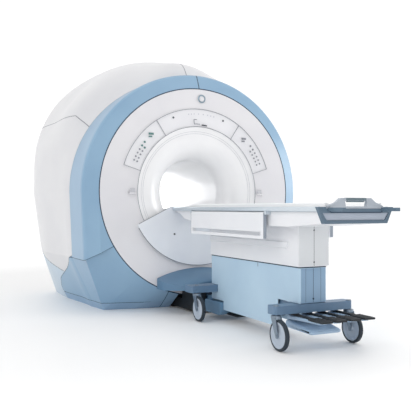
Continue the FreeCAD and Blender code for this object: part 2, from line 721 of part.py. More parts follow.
def build_magnet_core():
    """What the covers hide: the vacuum vessel, its coils, the gradient and body coils."""
    half = vessel_length / 2
    wall = vessel_wall
    outside = [(vessel_bore, -half), (vessel_radius, -half), (vessel_radius, half), (vessel_bore, half)]
    owner = turned("cryostat_vessel", outside, (0.0, 0.0, iso_height))
    hollow = outline(sketch_on(owner, "XZ_Plane", "vessel_hollow"),
                     [(vessel_bore + wall, -half + wall), (vessel_radius - wall, -half + wall),
                      (vessel_radius - wall, half - wall), (vessel_bore + wall, half - wall)])
    doc.recompute()
    groove = owner.newObject("PartDesign::Groove", "vessel_space")
    groove.Profile = hollow
    groove.ReferenceAxis = (hollow, ["V_Axis"])
    groove.Angle = 360
    rings = []
    for number, share in enumerate((-0.84, -0.45, -0.15, 0.15, 0.45, 0.84)):
        width = 170.0 if abs(share) > 0.8 else 90.0
        centre = share * (half - 100)
        outer = cylinder("coil_outer_%d" % number, vessel_bore + 150, Size(width),
                         (0.0, centre - width / 2, iso_height), ALONG_Y)
        inner = cylinder("coil_inner_%d" % number, vessel_bore + wall + 25, Size(width),
                         (0.0, centre - width / 2, iso_height), ALONG_Y)
        rings.append(cut("main_coil_%d" % number, outer, inner))
    for x in (-1, 1):
        rings.append(box("coil_former_%d" % (x + 1), x * (vessel_bore + 80) - 30, x * (vessel_bore + 80) + 30,
                         -half + wall, half - wall, iso_height - 20, iso_height + 20))
    keep(fuse("main_coils", *rings), "main_coils")
    body_inner = bore_radius + liner_wall + slide_gap
    for label, inner, outer, seat, length, width in (
            ("gradient_coil", gradient_inner, gradient_outer, vessel_bore - slide_gap, gradient_length, 60),
            ("body_coil", body_inner, body_inner + 10, gradient_inner - slide_gap, body_coil_length, 40)):
        end = length / 2
        turned(label, [(inner, -end), (seat, -end), (seat, -end + width), (outer, -end + width),
                       (outer, end - width), (seat, end - width), (seat, end), (inner, end)],
               (0.0, 0.0, iso_height))

    turret_z = iso_height + vessel_radius
    turret = cylinder("turret_tube", Size(110.0), Size(175.0), (0.0, 180.0, turret_z - 15))
    flange = cylinder("turret_flange", Size(140.0), Size(22.0), (0.0, 180.0, turret_z + 160))
    neck = box("turret_neck", -60.0, Size(60.0), Size(270.0), Size(404.0), turret_z + 40, turret_z + 120)
    vessel_cut = cylinder("turret_seat", vessel_radius, vessel_length, (0.0, -half, iso_height), ALONG_Y)
    keep(cut("service_turret", fuse("turret_blank", turret, flange, neck), vessel_cut), "service_turret")
    head = [cylinder("cold_head_body", Size(62.0), Size(170.0), (0.0, 500.0, turret_z + 12)),
            cylinder("cold_head_cap", Size(80.0), Size(90.0), (0.0, 500.0, turret_z + 170)),
            cylinder("cold_head_foot", Size(95.0), Size(40.0), (0.0, 500.0, turret_z - 15))]
    head_cut = cylinder("cold_head_seat", vessel_radius, vessel_length, (0.0, -half, iso_height), ALONG_Y)
    keep(cut("cold_head", fuse("cold_head_blank", *head), head_cut), "cold_head")

    blocks = []
    for sx in (-1, 1):
        for sy in (-1, 1):
            x = sx * foot_spacing_x / 2
            y = sy * foot_spacing_y / 2
            name = "foot_%d_%d" % (sx + 1, sy + 1)
            block = box(name, x - 110, x + 110, y - 80, y + 80, 0.0, Size(420.0))
            hole = cylinder(name + "_hole", anchor_radius, Size(40.0), (x, y, -1.0))
            relief = cylinder(name + "_relief", Size(40.0), Size(400.0), (x, y, 30.0))
            blocks.append(cut(name + "_bored", block, hole, relief))
    saddle = cylinder("foot_saddle", vessel_radius, vessel_length, (0.0, -half, iso_height), ALONG_Y)
    keep(cut("magnet_feet", fuse("foot_blocks", *blocks), saddle), "magnet_feet")


def build_dock():
    """The rounded dock cover below the disc, and the latch box that takes the table's arm."""
    y0 = front - 0.5
    y1 = front - dock_reach

    def dome(y, half, low, edge, crown, inset):
        half = half - inset
        arc = Part.Arc(V(half, y, edge - inset), V(0, y, crown - inset), V(-half, y, edge - inset))
        low = low - 5 if inset else low
        return Part.Wire([Part.makeLine(V(-half, y, edge - inset), V(-half, y, low)),
                          Part.makeLine(V(-half, y, low), V(half, y, low)),
                          Part.makeLine(V(half, y, low), V(half, y, edge - inset)), arc.toShape()])

    def nose(inset):
        ends = [(y0, dock_half, dock_floor, 290.0, dock_crown), (y0 - 120, dock_half - 8, dock_floor, 272.0, 344.0),
                (y0 - 230, dock_half - 60, dock_floor + 4, 258.0, 318.0),
                (y1, dock_half - 190, dock_floor + 12, 246.0, 286.0)]
        wires = []
        for number, (y, half, low, edge, crown) in enumerate(ends):
            shift = inset if number == len(ends) - 1 else 0.0
            wires.append(dome(y + shift, float(half), float(low), edge, float(crown), inset))
        return Part.makeLoft(wires, True, False)

    shaped("dock_cover", nose(0.0).cut(nose(6.0)))
    latch_back = 180 - vessel_length / 2
    base = box("latch_base", -180.0, Size(180.0), front - 290, latch_back, Size(22.0), Size(42.0))
    cheeks = [box("latch_cheek_%d" % (s + 1), s * 125.0 - 55, s * 125.0 + Size(55.0), front - 280,
                  front - 30, Size(42.0), Size(194.0)) for s in (-1, 1)]
    cheeks += [box("latch_rail_%d" % (s + 1), s * 125.0 - 55, s * 125.0 + Size(55.0), front - 31,
                   latch_back - 20, Size(42.0), Size(105.0)) for s in (-1, 1)]
    bar = cylinder("latch_bar", Size(12.0), Size(200.0), (-100.0, front - 60, Size(178.0)), ALONG_X)
    feet = [box("latch_foot_%d" % (s + 1), s * 140.0 - 30, s * 140.0 + Size(30.0), latch_back - 100,
                latch_back - 20, 0.0, Size(30.0)) for s in (-1, 1)]
    post_top = iso_height - vessel_radius - 0.1
    post = box("latch_post", -40.0, Size(40.0), latch_back - 70, latch_back - 30, Size(42.0), post_top)
    keep(fuse("dock_latch", base, bar, post, *cheeks, *feet), "dock_latch")


def build_cover_screws():
    """The dark round screws of the disc and of the lower front cover, alike in every size."""
    places = [(-250.0, 1715.0), (250.0, 1715.0)]
    screws = []
    for number, (x, z) in enumerate(places):
        reach = math.hypot(x, z - iso_height)
        y = front + disc_dish * (disc_radius - reach) / (disc_radius - band_inner)
        screws.append(cylinder("cover_screw_%d" % number, Size(9.0), Size(3.0), (x, y - 3.5, z), ALONG_Y))
    for number, x in enumerate((-247.0, 247.0)):
        screws.append(cylinder("bib_screw_%d" % number, Size(9.0), Size(3.0),
                               (x, front - bib_proud - 3.0, 677.0), ALONG_Y))
    keep(fuse("cover_screws", *screws), "cover_screws")


# ---------------------------------------------------------------- the patient table
pedestal_y1 = front - pedestal_front
pedestal_y0 = pedestal_y1 - pedestal_length
front_stem_y = front - front_caster_y
rear_stem_y = front_stem_y - wheelbase
deck_y1 = front - table_front
deck_y0 = deck_y1 - deck_length
deck_top = deck_height - slide_gap
deck_bottom = deck_top - deck_depth - 10
lift_middle = (pedestal_y0 + pedestal_y1) / 2


def build_table_base():
    """The steel frame on its casters, the lower pedestal around it and the docking arm."""
    owner = body("base_frame")
    plan = sketch_on(owner, "XY_Plane", "frame_plan")
    y_a = rear_stem_y - bar_overhang
    y_b = y_a + rear_bar_width
    y_c = front_stem_y - bar_overhang
    y_d = y_c + front_bar_width
    left = [(-rear_bar_half, y_a), (-rear_bar_half, y_b), (-beam_half, y_b), (-beam_half, y_c),
            (-crossbar_half, y_c), (-crossbar_half, y_d)]
    right = [(crossbar_half, y_d), (crossbar_half, y_c), (beam_half, y_c), (beam_half, y_b),
             (rear_bar_half, y_b), (rear_bar_half, y_a)]
    outline(plan, left + right)
    pad(owner, plan, frame_thick)
    holes = sketch_on(owner, "XY_Plane", "stem_holes")
    for x in (-track / 2, track / 2):
        for y in (front_stem_y, rear_stem_y):
            circle(holes, x, y, stem_radius + 0.3)
    holes_cut = pocket(owner, holes, frame_thick, reverse=True)
    corners = []
    for number, edge in enumerate(holes_cut.Shape.Edges, 1):
        ends = [v.Point for v in edge.Vertexes]
        if len(ends) == 2 and abs(ends[0].x - ends[1].x) < 1e-6 and abs(ends[0].y - ends[1].y) < 1e-6:
            if abs(ends[0].x) > rear_bar_half - 1e-6:
                corners.append("Edge%d" % number)
    soft = owner.newObject("PartDesign::Fillet", "frame_corners")
    soft.Base = (holes_cut, corners)
    soft.Radius = 18
    place(owner, (0.0, 0.0, frame_bottom))

    low = pedestal_bottom
    top = sleeve_bottom + 28
    outer = box("pedestal_outer", -pedestal_half, pedestal_half, pedestal_y0, pedestal_y1, low, top)
    wall = pedestal_wall
    soft_ends = rounded("pedestal_soft", outer, 14.0, lambda e: abs(e.tangentAt(e.FirstParameter).z) > 0.9)
    hollow_box = box("pedestal_hollow", -(pedestal_half - wall), pedestal_half - wall, pedestal_y0 + wall,
                     pedestal_y1 - wall, low - 20, top + 20)
    hollow = rounded("pedestal_soft_hollow", hollow_box, 9.0,
                     lambda e: abs(e.tangentAt(e.FirstParameter).z) > 0.9)
    rear_clear = box("pedestal_rear_clear", -200.0, Size(200.0), pedestal_y0 - 20, pedestal_y0 + 260,
                     low - 20, frame_top + 3)
    bar_clear = box("pedestal_bar_clear", -200.0, Size(200.0), y_c - 3, y_d + 3, frame_bottom - 3, frame_top + 3)
    arm_clear = box("pedestal_arm_clear", -200.0, Size(200.0), y_c - 101, pedestal_y1 + 20, low - 20,
                    low + 70)
    seat = box("pedestal_seat", -(pedestal_half - 1), pedestal_half - 1, y_b + 40, y_b + 70, frame_top,
               frame_top + 8)
    seat_front = box("pedestal_seat_front", -(pedestal_half - 1), pedestal_half - 1, y_c - 70, y_c - 40,
                     frame_top, frame_top + 8)
    shell = cut("pedestal_shell", soft_ends, hollow, rear_clear, bar_clear, arm_clear)
    keep(fuse("lower_pedestal", shell, seat, seat_front), "lower_pedestal")

    arm_y = y_c - 90
    arm = box("arm_beam", -50.0, Size(50.0), arm_y, front - 140, Size(100.0), Size(160.0))
    head = box("arm_head", -69.5, Size(69.5), front - 240, front - 140, Size(104.0), Size(156.0))
    hook = box("arm_hook", -50.0, Size(50.0), front - 200, front - 140, Size(60.0), Size(101.0))
    riser = box("arm_riser", -50.0, Size(50.0), arm_y, y_c - 5, Size(150.0), frame_bottom)
    block = box("arm_block", -140.0, Size(140.0), arm_y - 10, y_d + 40, Size(48.0), Size(150.0))
    soft_block = rounded("arm_block_soft", block, 22.0, lambda e: abs(e.tangentAt(e.FirstParameter).x) > 0.9)
    keep(fuse("docking_arm", arm, head, hook, riser, soft_block), "docking_arm")

    tube = cylinder("lift_tube", cylinder_radius, sleeve_bottom + 25 - frame_top,
                    (0.0, lift_middle, frame_top))
    bore = cylinder("lift_bore", rod_radius + 0.3, Size(600.0), (0.0, lift_middle, frame_top + 6))
    keep(cut("lift_cylinder", tube, bore), "lift_cylinder")

    shaft_y = front - pedal_pivot_y
    shaft_x0 = pedal_last - 3 * pedal_pitch - 40
    shaft = cylinder("pedal_rod", pedal_shaft_radius, pedal_last + 40 - shaft_x0,
                     (shaft_x0, shaft_y, pedal_pivot_z), ALONG_X)
    hangers = []
    for number, x in enumerate((pedal_last - 2.5 * pedal_pitch, pedal_last - 1.5 * pedal_pitch)):
        hangers.append(box("pedal_hanger_%d" % number, x - 12, x + 12, shaft_y - 14, shaft_y + 14,
                           pedal_pivot_z - 14, frame_bottom))
    keep(fuse("pedal_shaft", shaft, *hangers), "pedal_shaft")


def build_pedals():
    """Four foot pedals side by side: a slim arm to the shaft and a broad tread."""
    shaft_y = front - pedal_pivot_y
    for number in range(4):
        x = pedal_last - (3 - number) * pedal_pitch
        name = "pedal_%d" % (number + 1)
        tread_y0 = shaft_y - pedal_reach
        low = pedal_pivot_z + 4
        arm = box(name + "_arm", x - 9, x + 9, tread_y0 + 60, shaft_y, low, low + 13)
        hub = cylinder(name + "_hub", pedal_shaft_radius + 8, Size(26.0),
                       (x - 13, shaft_y, pedal_pivot_z), ALONG_X)
        tread = box(name + "_tread", x - 40, x + 40, tread_y0, tread_y0 + 150, low, low + 14)
        soft = rounded(name + "_soft", tread, 5.0, lambda e: abs(e.tangentAt(e.FirstParameter).z) < 0.1)
        bore = cylinder(name + "_bore", pedal_shaft_radius + 0.15, Size(40.0),
                        (x - 20, shaft_y, pedal_pivot_z), ALONG_X)
        keep(cut(name, fuse(name + "_blank", arm, hub, soft), bore), name)


def build_casters():
    """Four swivel casters: a forked crown on a stem, and a wheel on its axle."""
    crown_low = wheel_radius * 2 + 5
    gap = Size(3.0)
    for label, sx, stem_y in (("front_left", -1, front_stem_y), ("front_right", 1, front_stem_y),
                              ("rear_left", -1, rear_stem_y), ("rear_right", 1, rear_stem_y)):
        x = sx * track / 2
        wheel_y = stem_y - trail
        name = "caster_" + label
        leg_in = wheel_width / 2 + gap
        crown = cylinder(name + "_crown", Size(34.0), Size(14.0), (x, stem_y, crown_low))
        stem = cylinder(name + "_stem", stem_radius, frame_top + 4 - crown_low, (x, stem_y, crown_low))
        cap = cylinder(name + "_cap", stem_radius + 7, Size(6.0), (x, stem_y, frame_top + 0.3))
        pieces = [crown, stem, cap]
        for side in (-1, 1):
            inner = side * leg_in
            outer = side * (leg_in + fork_plate)
            x0 = x + min(inner, outer)
            x1 = x + max(inner, outer)
            leg = doc.addObject("Part::Feature", "%s_leg_%d" % (name, side + 1))
            top_z = float(crown_low) + 6
            section = [(stem_y + 26, top_z), (stem_y - 30, top_z), (wheel_y - 18, wheel_radius - 6),
                       (wheel_y - 8, wheel_radius - 18), (wheel_y + 8, wheel_radius - 18),
                       (wheel_y + 18, wheel_radius + 4)]
            leg.Shape = prism_x(section, x0, x1)
            pieces.append(leg)
        axle = cylinder(name + "_axle", Size(6.0), (leg_in + fork_plate) * 2 + 6,
                        (x - leg_in - fork_plate - 3, wheel_y, wheel_radius), ALONG_X)
        pieces.append(axle)
        keep(fuse("caster_fork_" + label, *pieces), "caster_fork_" + label)

        half = wheel_width / 2
        turned("wheel_" + label,
               [(Size(6.2), -half), (Size(24.0), -half), (Size(28.0), -half + 5),
                (wheel_radius - 26, -half + 5), (wheel_radius - 22, -half), (wheel_radius - 9, -half),
                (wheel_radius, -half + 9), (wheel_radius, half - 9), (wheel_radius - 9, half),
                (wheel_radius - 22, half), (wheel_radius - 26, half - 5), (Size(28.0), half - 5),
                (Size(24.0), half), (Size(6.2), half)],
               (x, wheel_y, wheel_radius), ALONG_X)


def build_table_top():
    """The upper housing, the deck with its nose, the side rails and the push handle with its grips."""
    inner = pedestal_half + sleeve_gap
    wall = Size(6.0)
    y0 = pedestal_y0 - sleeve_gap - wall
    y1 = pedestal_y1 + sleeve_gap + wall
    outer = box("housing_outer", -(inner + wall), inner + wall, y0, y1, sleeve_bottom, deck_bottom)
    soft = rounded("housing_soft", outer, 20.0, lambda e: abs(e.tangentAt(e.FirstParameter).z) > 0.9)
    ridge = box("housing_ridge", -(inner + wall + 12), inner + wall + 12, y0 + 130, y1 - 30,
                Size(636.0), Size(684.0))
    soft_ridge = rounded("housing_ridge_soft", ridge, 11.0,
                         lambda e: abs(e.tangentAt(e.FirstParameter).y) > 0.9)
    hollow = box("housing_hollow", -inner, inner, y0 + wall, y1 - wall, sleeve_bottom - 20,
                 deck_bottom + 20)
    soft_hollow = rounded("housing_soft_hollow", hollow, 14.0,
                          lambda e: abs(e.tangentAt(e.FirstParameter).z) > 0.9)
    keep(cut("upper_housing", fuse("housing_blank", soft, soft_ridge), soft_hollow), "upper_housing")

    rod = cylinder("lift_rod", rod_radius, deck_bottom - (sleeve_bottom - 1), (0.0, lift_middle, sleeve_bottom - 1))
    keep(rod, "lift_rod")

    slim = float(deck_top) - 18
    section = [(float(deck_y1), float(deck_top)), (float(deck_y1), slim),
               (deck_y1 - 134, slim - 36), (deck_y1 - 184, slim - 66), (deck_y1 - 414, float(deck_bottom)),
               (pedestal_y0 - 60, float(deck_bottom)), (float(deck_y0), float(deck_bottom) + 25),
               (float(deck_y0), float(deck_top))]
    deck = raw("deck_block", prism_x(section, -float(deck_half), float(deck_half)))
    keep(deck, "deck_tray")

    rail_top = deck_top + rail_above
    for side, label in ((-1, "left"), (1, "right")):
        edge = side * deck_half
        far_edge = side * (deck_half + rail_width)
        x0 = min(edge, far_edge)
        x1 = max(edge, far_edge)
        rail = box("rail_bar_" + label, x0, x1, deck_y0, deck_y1, rail_top - rail_depth, rail_top)
        soft_rail = rounded("rail_soft_" + label, rail, 7.0,
                            lambda e: abs(e.tangentAt(e.FirstParameter).y) > 0.9)
        hinge_x = side * (deck_half + board_gap + board_thick / 2)
        hinge_z = rail_top - rail_depth - 12
        pieces = [soft_rail]
        board_y1 = front - board_front
        board_y0 = board_y1 - board_length
        for number, (low, high, pin_low) in enumerate((
                (board_y0 - 24.5, board_y0 - 0.5, board_y0 - 20), (board_y1 + 0.5, board_y1 + 24.5, board_y1 - 20))):
            lug_far = hinge_x + side * 8
            lug_x0 = min(edge, lug_far)
            lug_x1 = max(edge, lug_far)
            pieces.append(box("rail_lug_%s_%d" % (label, number), lug_x0, lug_x1, low, high,
                              hinge_z - 8, rail_top - rail_depth + 4))
            pieces.append(cylinder("rail_pin_%s_%d" % (label, number), hinge_pin, Size(40.0),
                                   (hinge_x, pin_low, hinge_z), ALONG_Y))
        keep(fuse("side_rail_" + label, *pieces), "side_rail_" + label)

        half = board_thick / 2
        board_top = hinge_z + 8
        plate = box("board_plate_" + label, hinge_x - half, hinge_x + half, board_y0, board_y1,
                    board_top - board_height, board_top - 8)
        soft_plate = rounded("board_soft_" + label, plate, 9.0,
                             lambda e: abs(e.tangentAt(e.FirstParameter).y) < 0.1)
        barrel = cylinder("board_barrel_" + label, Size(8.0), board_length, (hinge_x, board_y0, hinge_z), ALONG_Y)
        slot = box("board_slot_" + label, hinge_x - half - 5, hinge_x + half + 5, board_y0 + 34,
                   board_y1 - 34, board_top - board_height + 22, board_top - board_height + 48)
        bore = cylinder("board_bore_" + label, hinge_pin + 0.3, board_length, (hinge_x, board_y0, hinge_z),
                        ALONG_Y)
        keep(cut("arm_board_" + label, fuse("board_blank_" + label, soft_plate, barrel), slot, bore),
             "arm_board_" + label)

    owner = body("push_handle")
    top = deck_top - 1
    low = deck_top - push_height
    ear = deck_top + 10
    face = sketch_on(owner, "XZ_Plane", "handle_face")
    outline(face, [(-push_top, ear), (-push_bottom, low), (push_bottom, low), (push_top, ear),
                   (push_top - 55, ear), (push_top - 65, top), (65 - push_top, top), (55 - push_top, ear)])
    pad(owner, face, push_thick)
    recess = sketch_on(owner, "XZ_Plane", "handle_recess", push_thick)
    slot_top = push_top - push_rim - 15
    slot_low = push_bottom - push_rim
    outline(recess, [(-slot_top, top - 24), (-slot_low, low + push_rim), (slot_low, low + push_rim),
                     (slot_top, top - 24)])
    pocket(owner, recess, Size(8.0))
    grips = sketch_on(owner, "XZ_Plane", "handle_grips", push_thick - 1)
    for side in (-1, 1):
        middle = side * grip_spacing
        outline(grips, [(middle - 12, top - 15), (middle + 12, top - 15), (middle + 12, top + 7),
                        (middle - 12, top + 7)])
    pad(owner, grips, grip_reach)
    place(owner, (0.0, deck_y0 - 0.3, 0.0))


def build_cradle():
    """The sliding cradle, its end loop and the release lever in the loop."""
    cradle_y1 = front - cradle_front
    cradle_y0 = cradle_y1 - cradle_length
    sole = deck_height
    owner = body("cradle_board")
    section = sketch_on(owner, "XZ_Plane", "cradle_section")
    lip = cradle_lip
    half = cradle_half
    outline(section, [(-half, sole), (half, sole), (half, sole + lip - 6), (half - 6, sole + lip),
                      (half - 14, sole + lip), (half - 40, sole + cradle_sole + 9),
                      (half - 110, sole + cradle_sole), (-(half - 110), sole + cradle_sole),
                      (-(half - 40), sole + cradle_sole + 9), (-(half - 14), sole + lip),
                      (-(half - 6), sole + lip), (-half, sole + lip - 6)])
    pad(owner, section, cradle_length)
    side = sketch_on(owner, "YZ_Plane", "cradle_front_taper")
    outline(side, [(Size(5.0), sole + 14), (Size(5.0), sole + lip + 20), (-420.0, sole + lip + 20),
                   (-420.0, sole + lip + 1), (-400.0, sole + lip + 1)])
    pocket(owner, side, half * 2 + 20, both_ways=True)
    place(owner, (0.0, cradle_y1, 0.0))

    y = cradle_y0
    foot = cradle_half - 8
    top = sole + loop_height
    base = sole + cradle_sole
    plate = prism_y([(-foot, sole), (-foot, sole + 16), (-(loop_top + 32), sole + 38), (-loop_top, float(top)),
                     (float(loop_top), float(top)), (loop_top + 32, sole + 38), (foot, sole + 16),
                     (foot, float(sole))], y - loop_plate, float(y))
    hole = prism_y([(-78.0, base + 4), (-84.0, top - 22), (-74.0, top - 16), (74.0, top - 16),
                    (84.0, top - 22), (78.0, base + 4)], y - loop_plate - 5, y + 5)
    shaped("cradle_handle", plate.cut(hole))
    keep(box("release_lever", -62.0, Size(62.0), y - loop_plate + 5, y - 5, top - 16 - 9, top - 16 - 0.3),
         "release_lever")


def check_and_write():
    doc.recompute()
    faults = [thing.Name for thing in doc.Objects if "Invalid" in thing.State or "Error" in thing.State]
    for thing in parts:
        shape = thing.Shape
        if shape.isNull() or not shape.isValid() or not shape.Solids:
            faults.append(thing.Label + " (shape)")
    if faults:
        raise RuntimeError("failed objects: " + ", ".join(faults))
    os.makedirs("parts", exist_ok=True)
    for thing in parts:
        thing.Shape.exportStep("parts/%s.step" % thing.Label)
    print(len(parts), "parts written")


build_covers()
build_rear_cover()
build_disc()
build_bell()
build_bib()
build_bridge()
build_magnet_core()
build_dock()
build_cover_screws()
build_table_base()
build_pedals()
build_casters()
build_table_top()
build_cradle()
check_and_write()
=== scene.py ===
import json
import math

import bmesh
import bpy
from mathutils import Matrix, Vector
from mathutils.bvhtree import BVHTree


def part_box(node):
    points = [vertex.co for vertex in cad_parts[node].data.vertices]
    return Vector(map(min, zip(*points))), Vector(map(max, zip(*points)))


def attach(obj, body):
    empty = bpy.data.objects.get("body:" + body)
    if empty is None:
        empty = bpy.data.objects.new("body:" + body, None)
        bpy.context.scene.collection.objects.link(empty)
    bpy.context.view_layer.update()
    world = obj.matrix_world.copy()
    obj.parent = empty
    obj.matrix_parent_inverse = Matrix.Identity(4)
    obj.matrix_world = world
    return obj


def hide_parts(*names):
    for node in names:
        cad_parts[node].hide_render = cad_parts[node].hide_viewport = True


# Looks of a magnetic resonance scanner with its patient table. Metres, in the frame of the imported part.
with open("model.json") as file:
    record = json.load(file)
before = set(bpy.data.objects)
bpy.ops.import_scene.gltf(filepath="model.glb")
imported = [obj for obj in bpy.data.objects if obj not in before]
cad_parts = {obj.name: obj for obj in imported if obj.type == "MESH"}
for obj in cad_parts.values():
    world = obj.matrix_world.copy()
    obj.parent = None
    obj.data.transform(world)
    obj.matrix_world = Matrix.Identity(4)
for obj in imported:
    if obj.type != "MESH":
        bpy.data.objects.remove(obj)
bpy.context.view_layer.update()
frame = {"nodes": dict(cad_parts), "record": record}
NODES = frame["nodes"]
MM = 0.001


# ---------------------------------------------------------------- materials
def linear(text):
    """An sRGB hex colour as a linear RGBA tuple."""
    shares = [int(text[i:i + 2], 16) / 255 for i in (1, 3, 5)]
    return tuple(s / 12.92 if s <= 0.04045 else ((s + 0.055) / 1.055) ** 2.4 for s in shares) + (1.0,)


def add(tree, kind, inputs=(), **settings):
    """Add a node, give it its settings, and set or link each of its inputs."""
    node = tree.nodes.new(kind)
    for name, value in settings.items():
        setattr(node, name, value)
    for socket, value in dict(inputs).items():
        if isinstance(value, bpy.types.NodeSocket):
            tree.links.new(value, node.inputs[socket])
        else:
            node.inputs[socket].default_value = value
    return node


def start(name, **constants):
    """A new material with its shader, and the Object coordinates that its patterns read."""
    material = bpy.data.materials.new(name)
    material.use_nodes = True
    tree = material.node_tree
    tree.nodes.clear()
    shader = add(tree, "ShaderNodeBsdfPrincipled")
    add(tree, "ShaderNodeOutputMaterial", {"Surface": shader.outputs[0]})
    for socket, value in constants.items():
        shader.inputs[socket.replace("_", " ")].default_value = value
    place = add(tree, "ShaderNodeTexCoord").outputs["Object"]
    return material, tree, shader, place


def per_metre(millimetres):
    """The Scale of a noise whose grains are this many millimetres across."""
    return 1 / (millimetres * MM)


def two_tone(tree, noise, colour, shade):
    """A ramp that turns a noise into soft shifts between a material's colour and its shade."""
    ramp = add(tree, "ShaderNodeValToRGB", {"Fac": noise.outputs["Fac"]})
    for element, position, tone in zip(ramp.color_ramp.elements, (0.35, 0.62), (shade, colour)):
        element.position = position
        element.color = linear(tone)
    return ramp


def moulded(name, colour, shade, roughness=0.32, peel=6.0, height=0.12, coat=0.0):
    """Moulding, paint or rubber: soft cloudy shifts of its colour, and the faint peel of its sprayed surface.

    The peel is the size of its grains in millimetres, drawn coarser than the real one so that it shows."""
    material, tree, shader, place = start(name, Coat_Weight=coat, Coat_Roughness=0.2)
    cloud = add(tree, "ShaderNodeTexNoise", {"Vector": place, "Scale": per_metre(420), "Detail": 3.0})
    ramp = two_tone(tree, cloud, colour, shade)
    skin = add(tree, "ShaderNodeTexNoise", {"Vector": place, "Scale": per_metre(peel), "Detail": 2.0})
    gloss = add(tree, "ShaderNodeMapRange", {"Value": cloud.outputs["Fac"], "To Min": roughness - 0.04,
                                             "To Max": roughness + 0.06})
    bump = add(tree, "ShaderNodeBump", {"Height": skin.outputs["Fac"], "Strength": height,
                                        "Distance": 0.4 * MM})
    for socket, source in (("Base Color", ramp), ("Roughness", gloss), ("Normal", bump)):
        tree.links.new(source.outputs[0], shader.inputs[socket])
    return material


def metal(name, colour, shade, roughness=0.35):
    """Bare or plated metal: it tints what it mirrors, and a grain along y, drawn coarse, blurs that."""
    material, tree, shader, place = start(name, Metallic=1.0)
    run = add(tree, "ShaderNodeMapping", {"Vector": place, "Scale": (1.0, 0.05, 1.0)})
    grain = add(tree, "ShaderNodeTexNoise", {"Vector": run.outputs["Vector"], "Scale": per_metre(2),
                                             "Detail": 2.0})
    ramp = two_tone(tree, grain, colour, shade)
    gloss = add(tree, "ShaderNodeMapRange", {"Value": grain.outputs["Fac"], "To Min": roughness - 0.05,
                                             "To Max": roughness + 0.08})
    tree.links.new(ramp.outputs["Color"], shader.inputs["Base Color"])
    tree.links.new(gloss.outputs["Result"], shader.inputs["Roughness"])
    return material


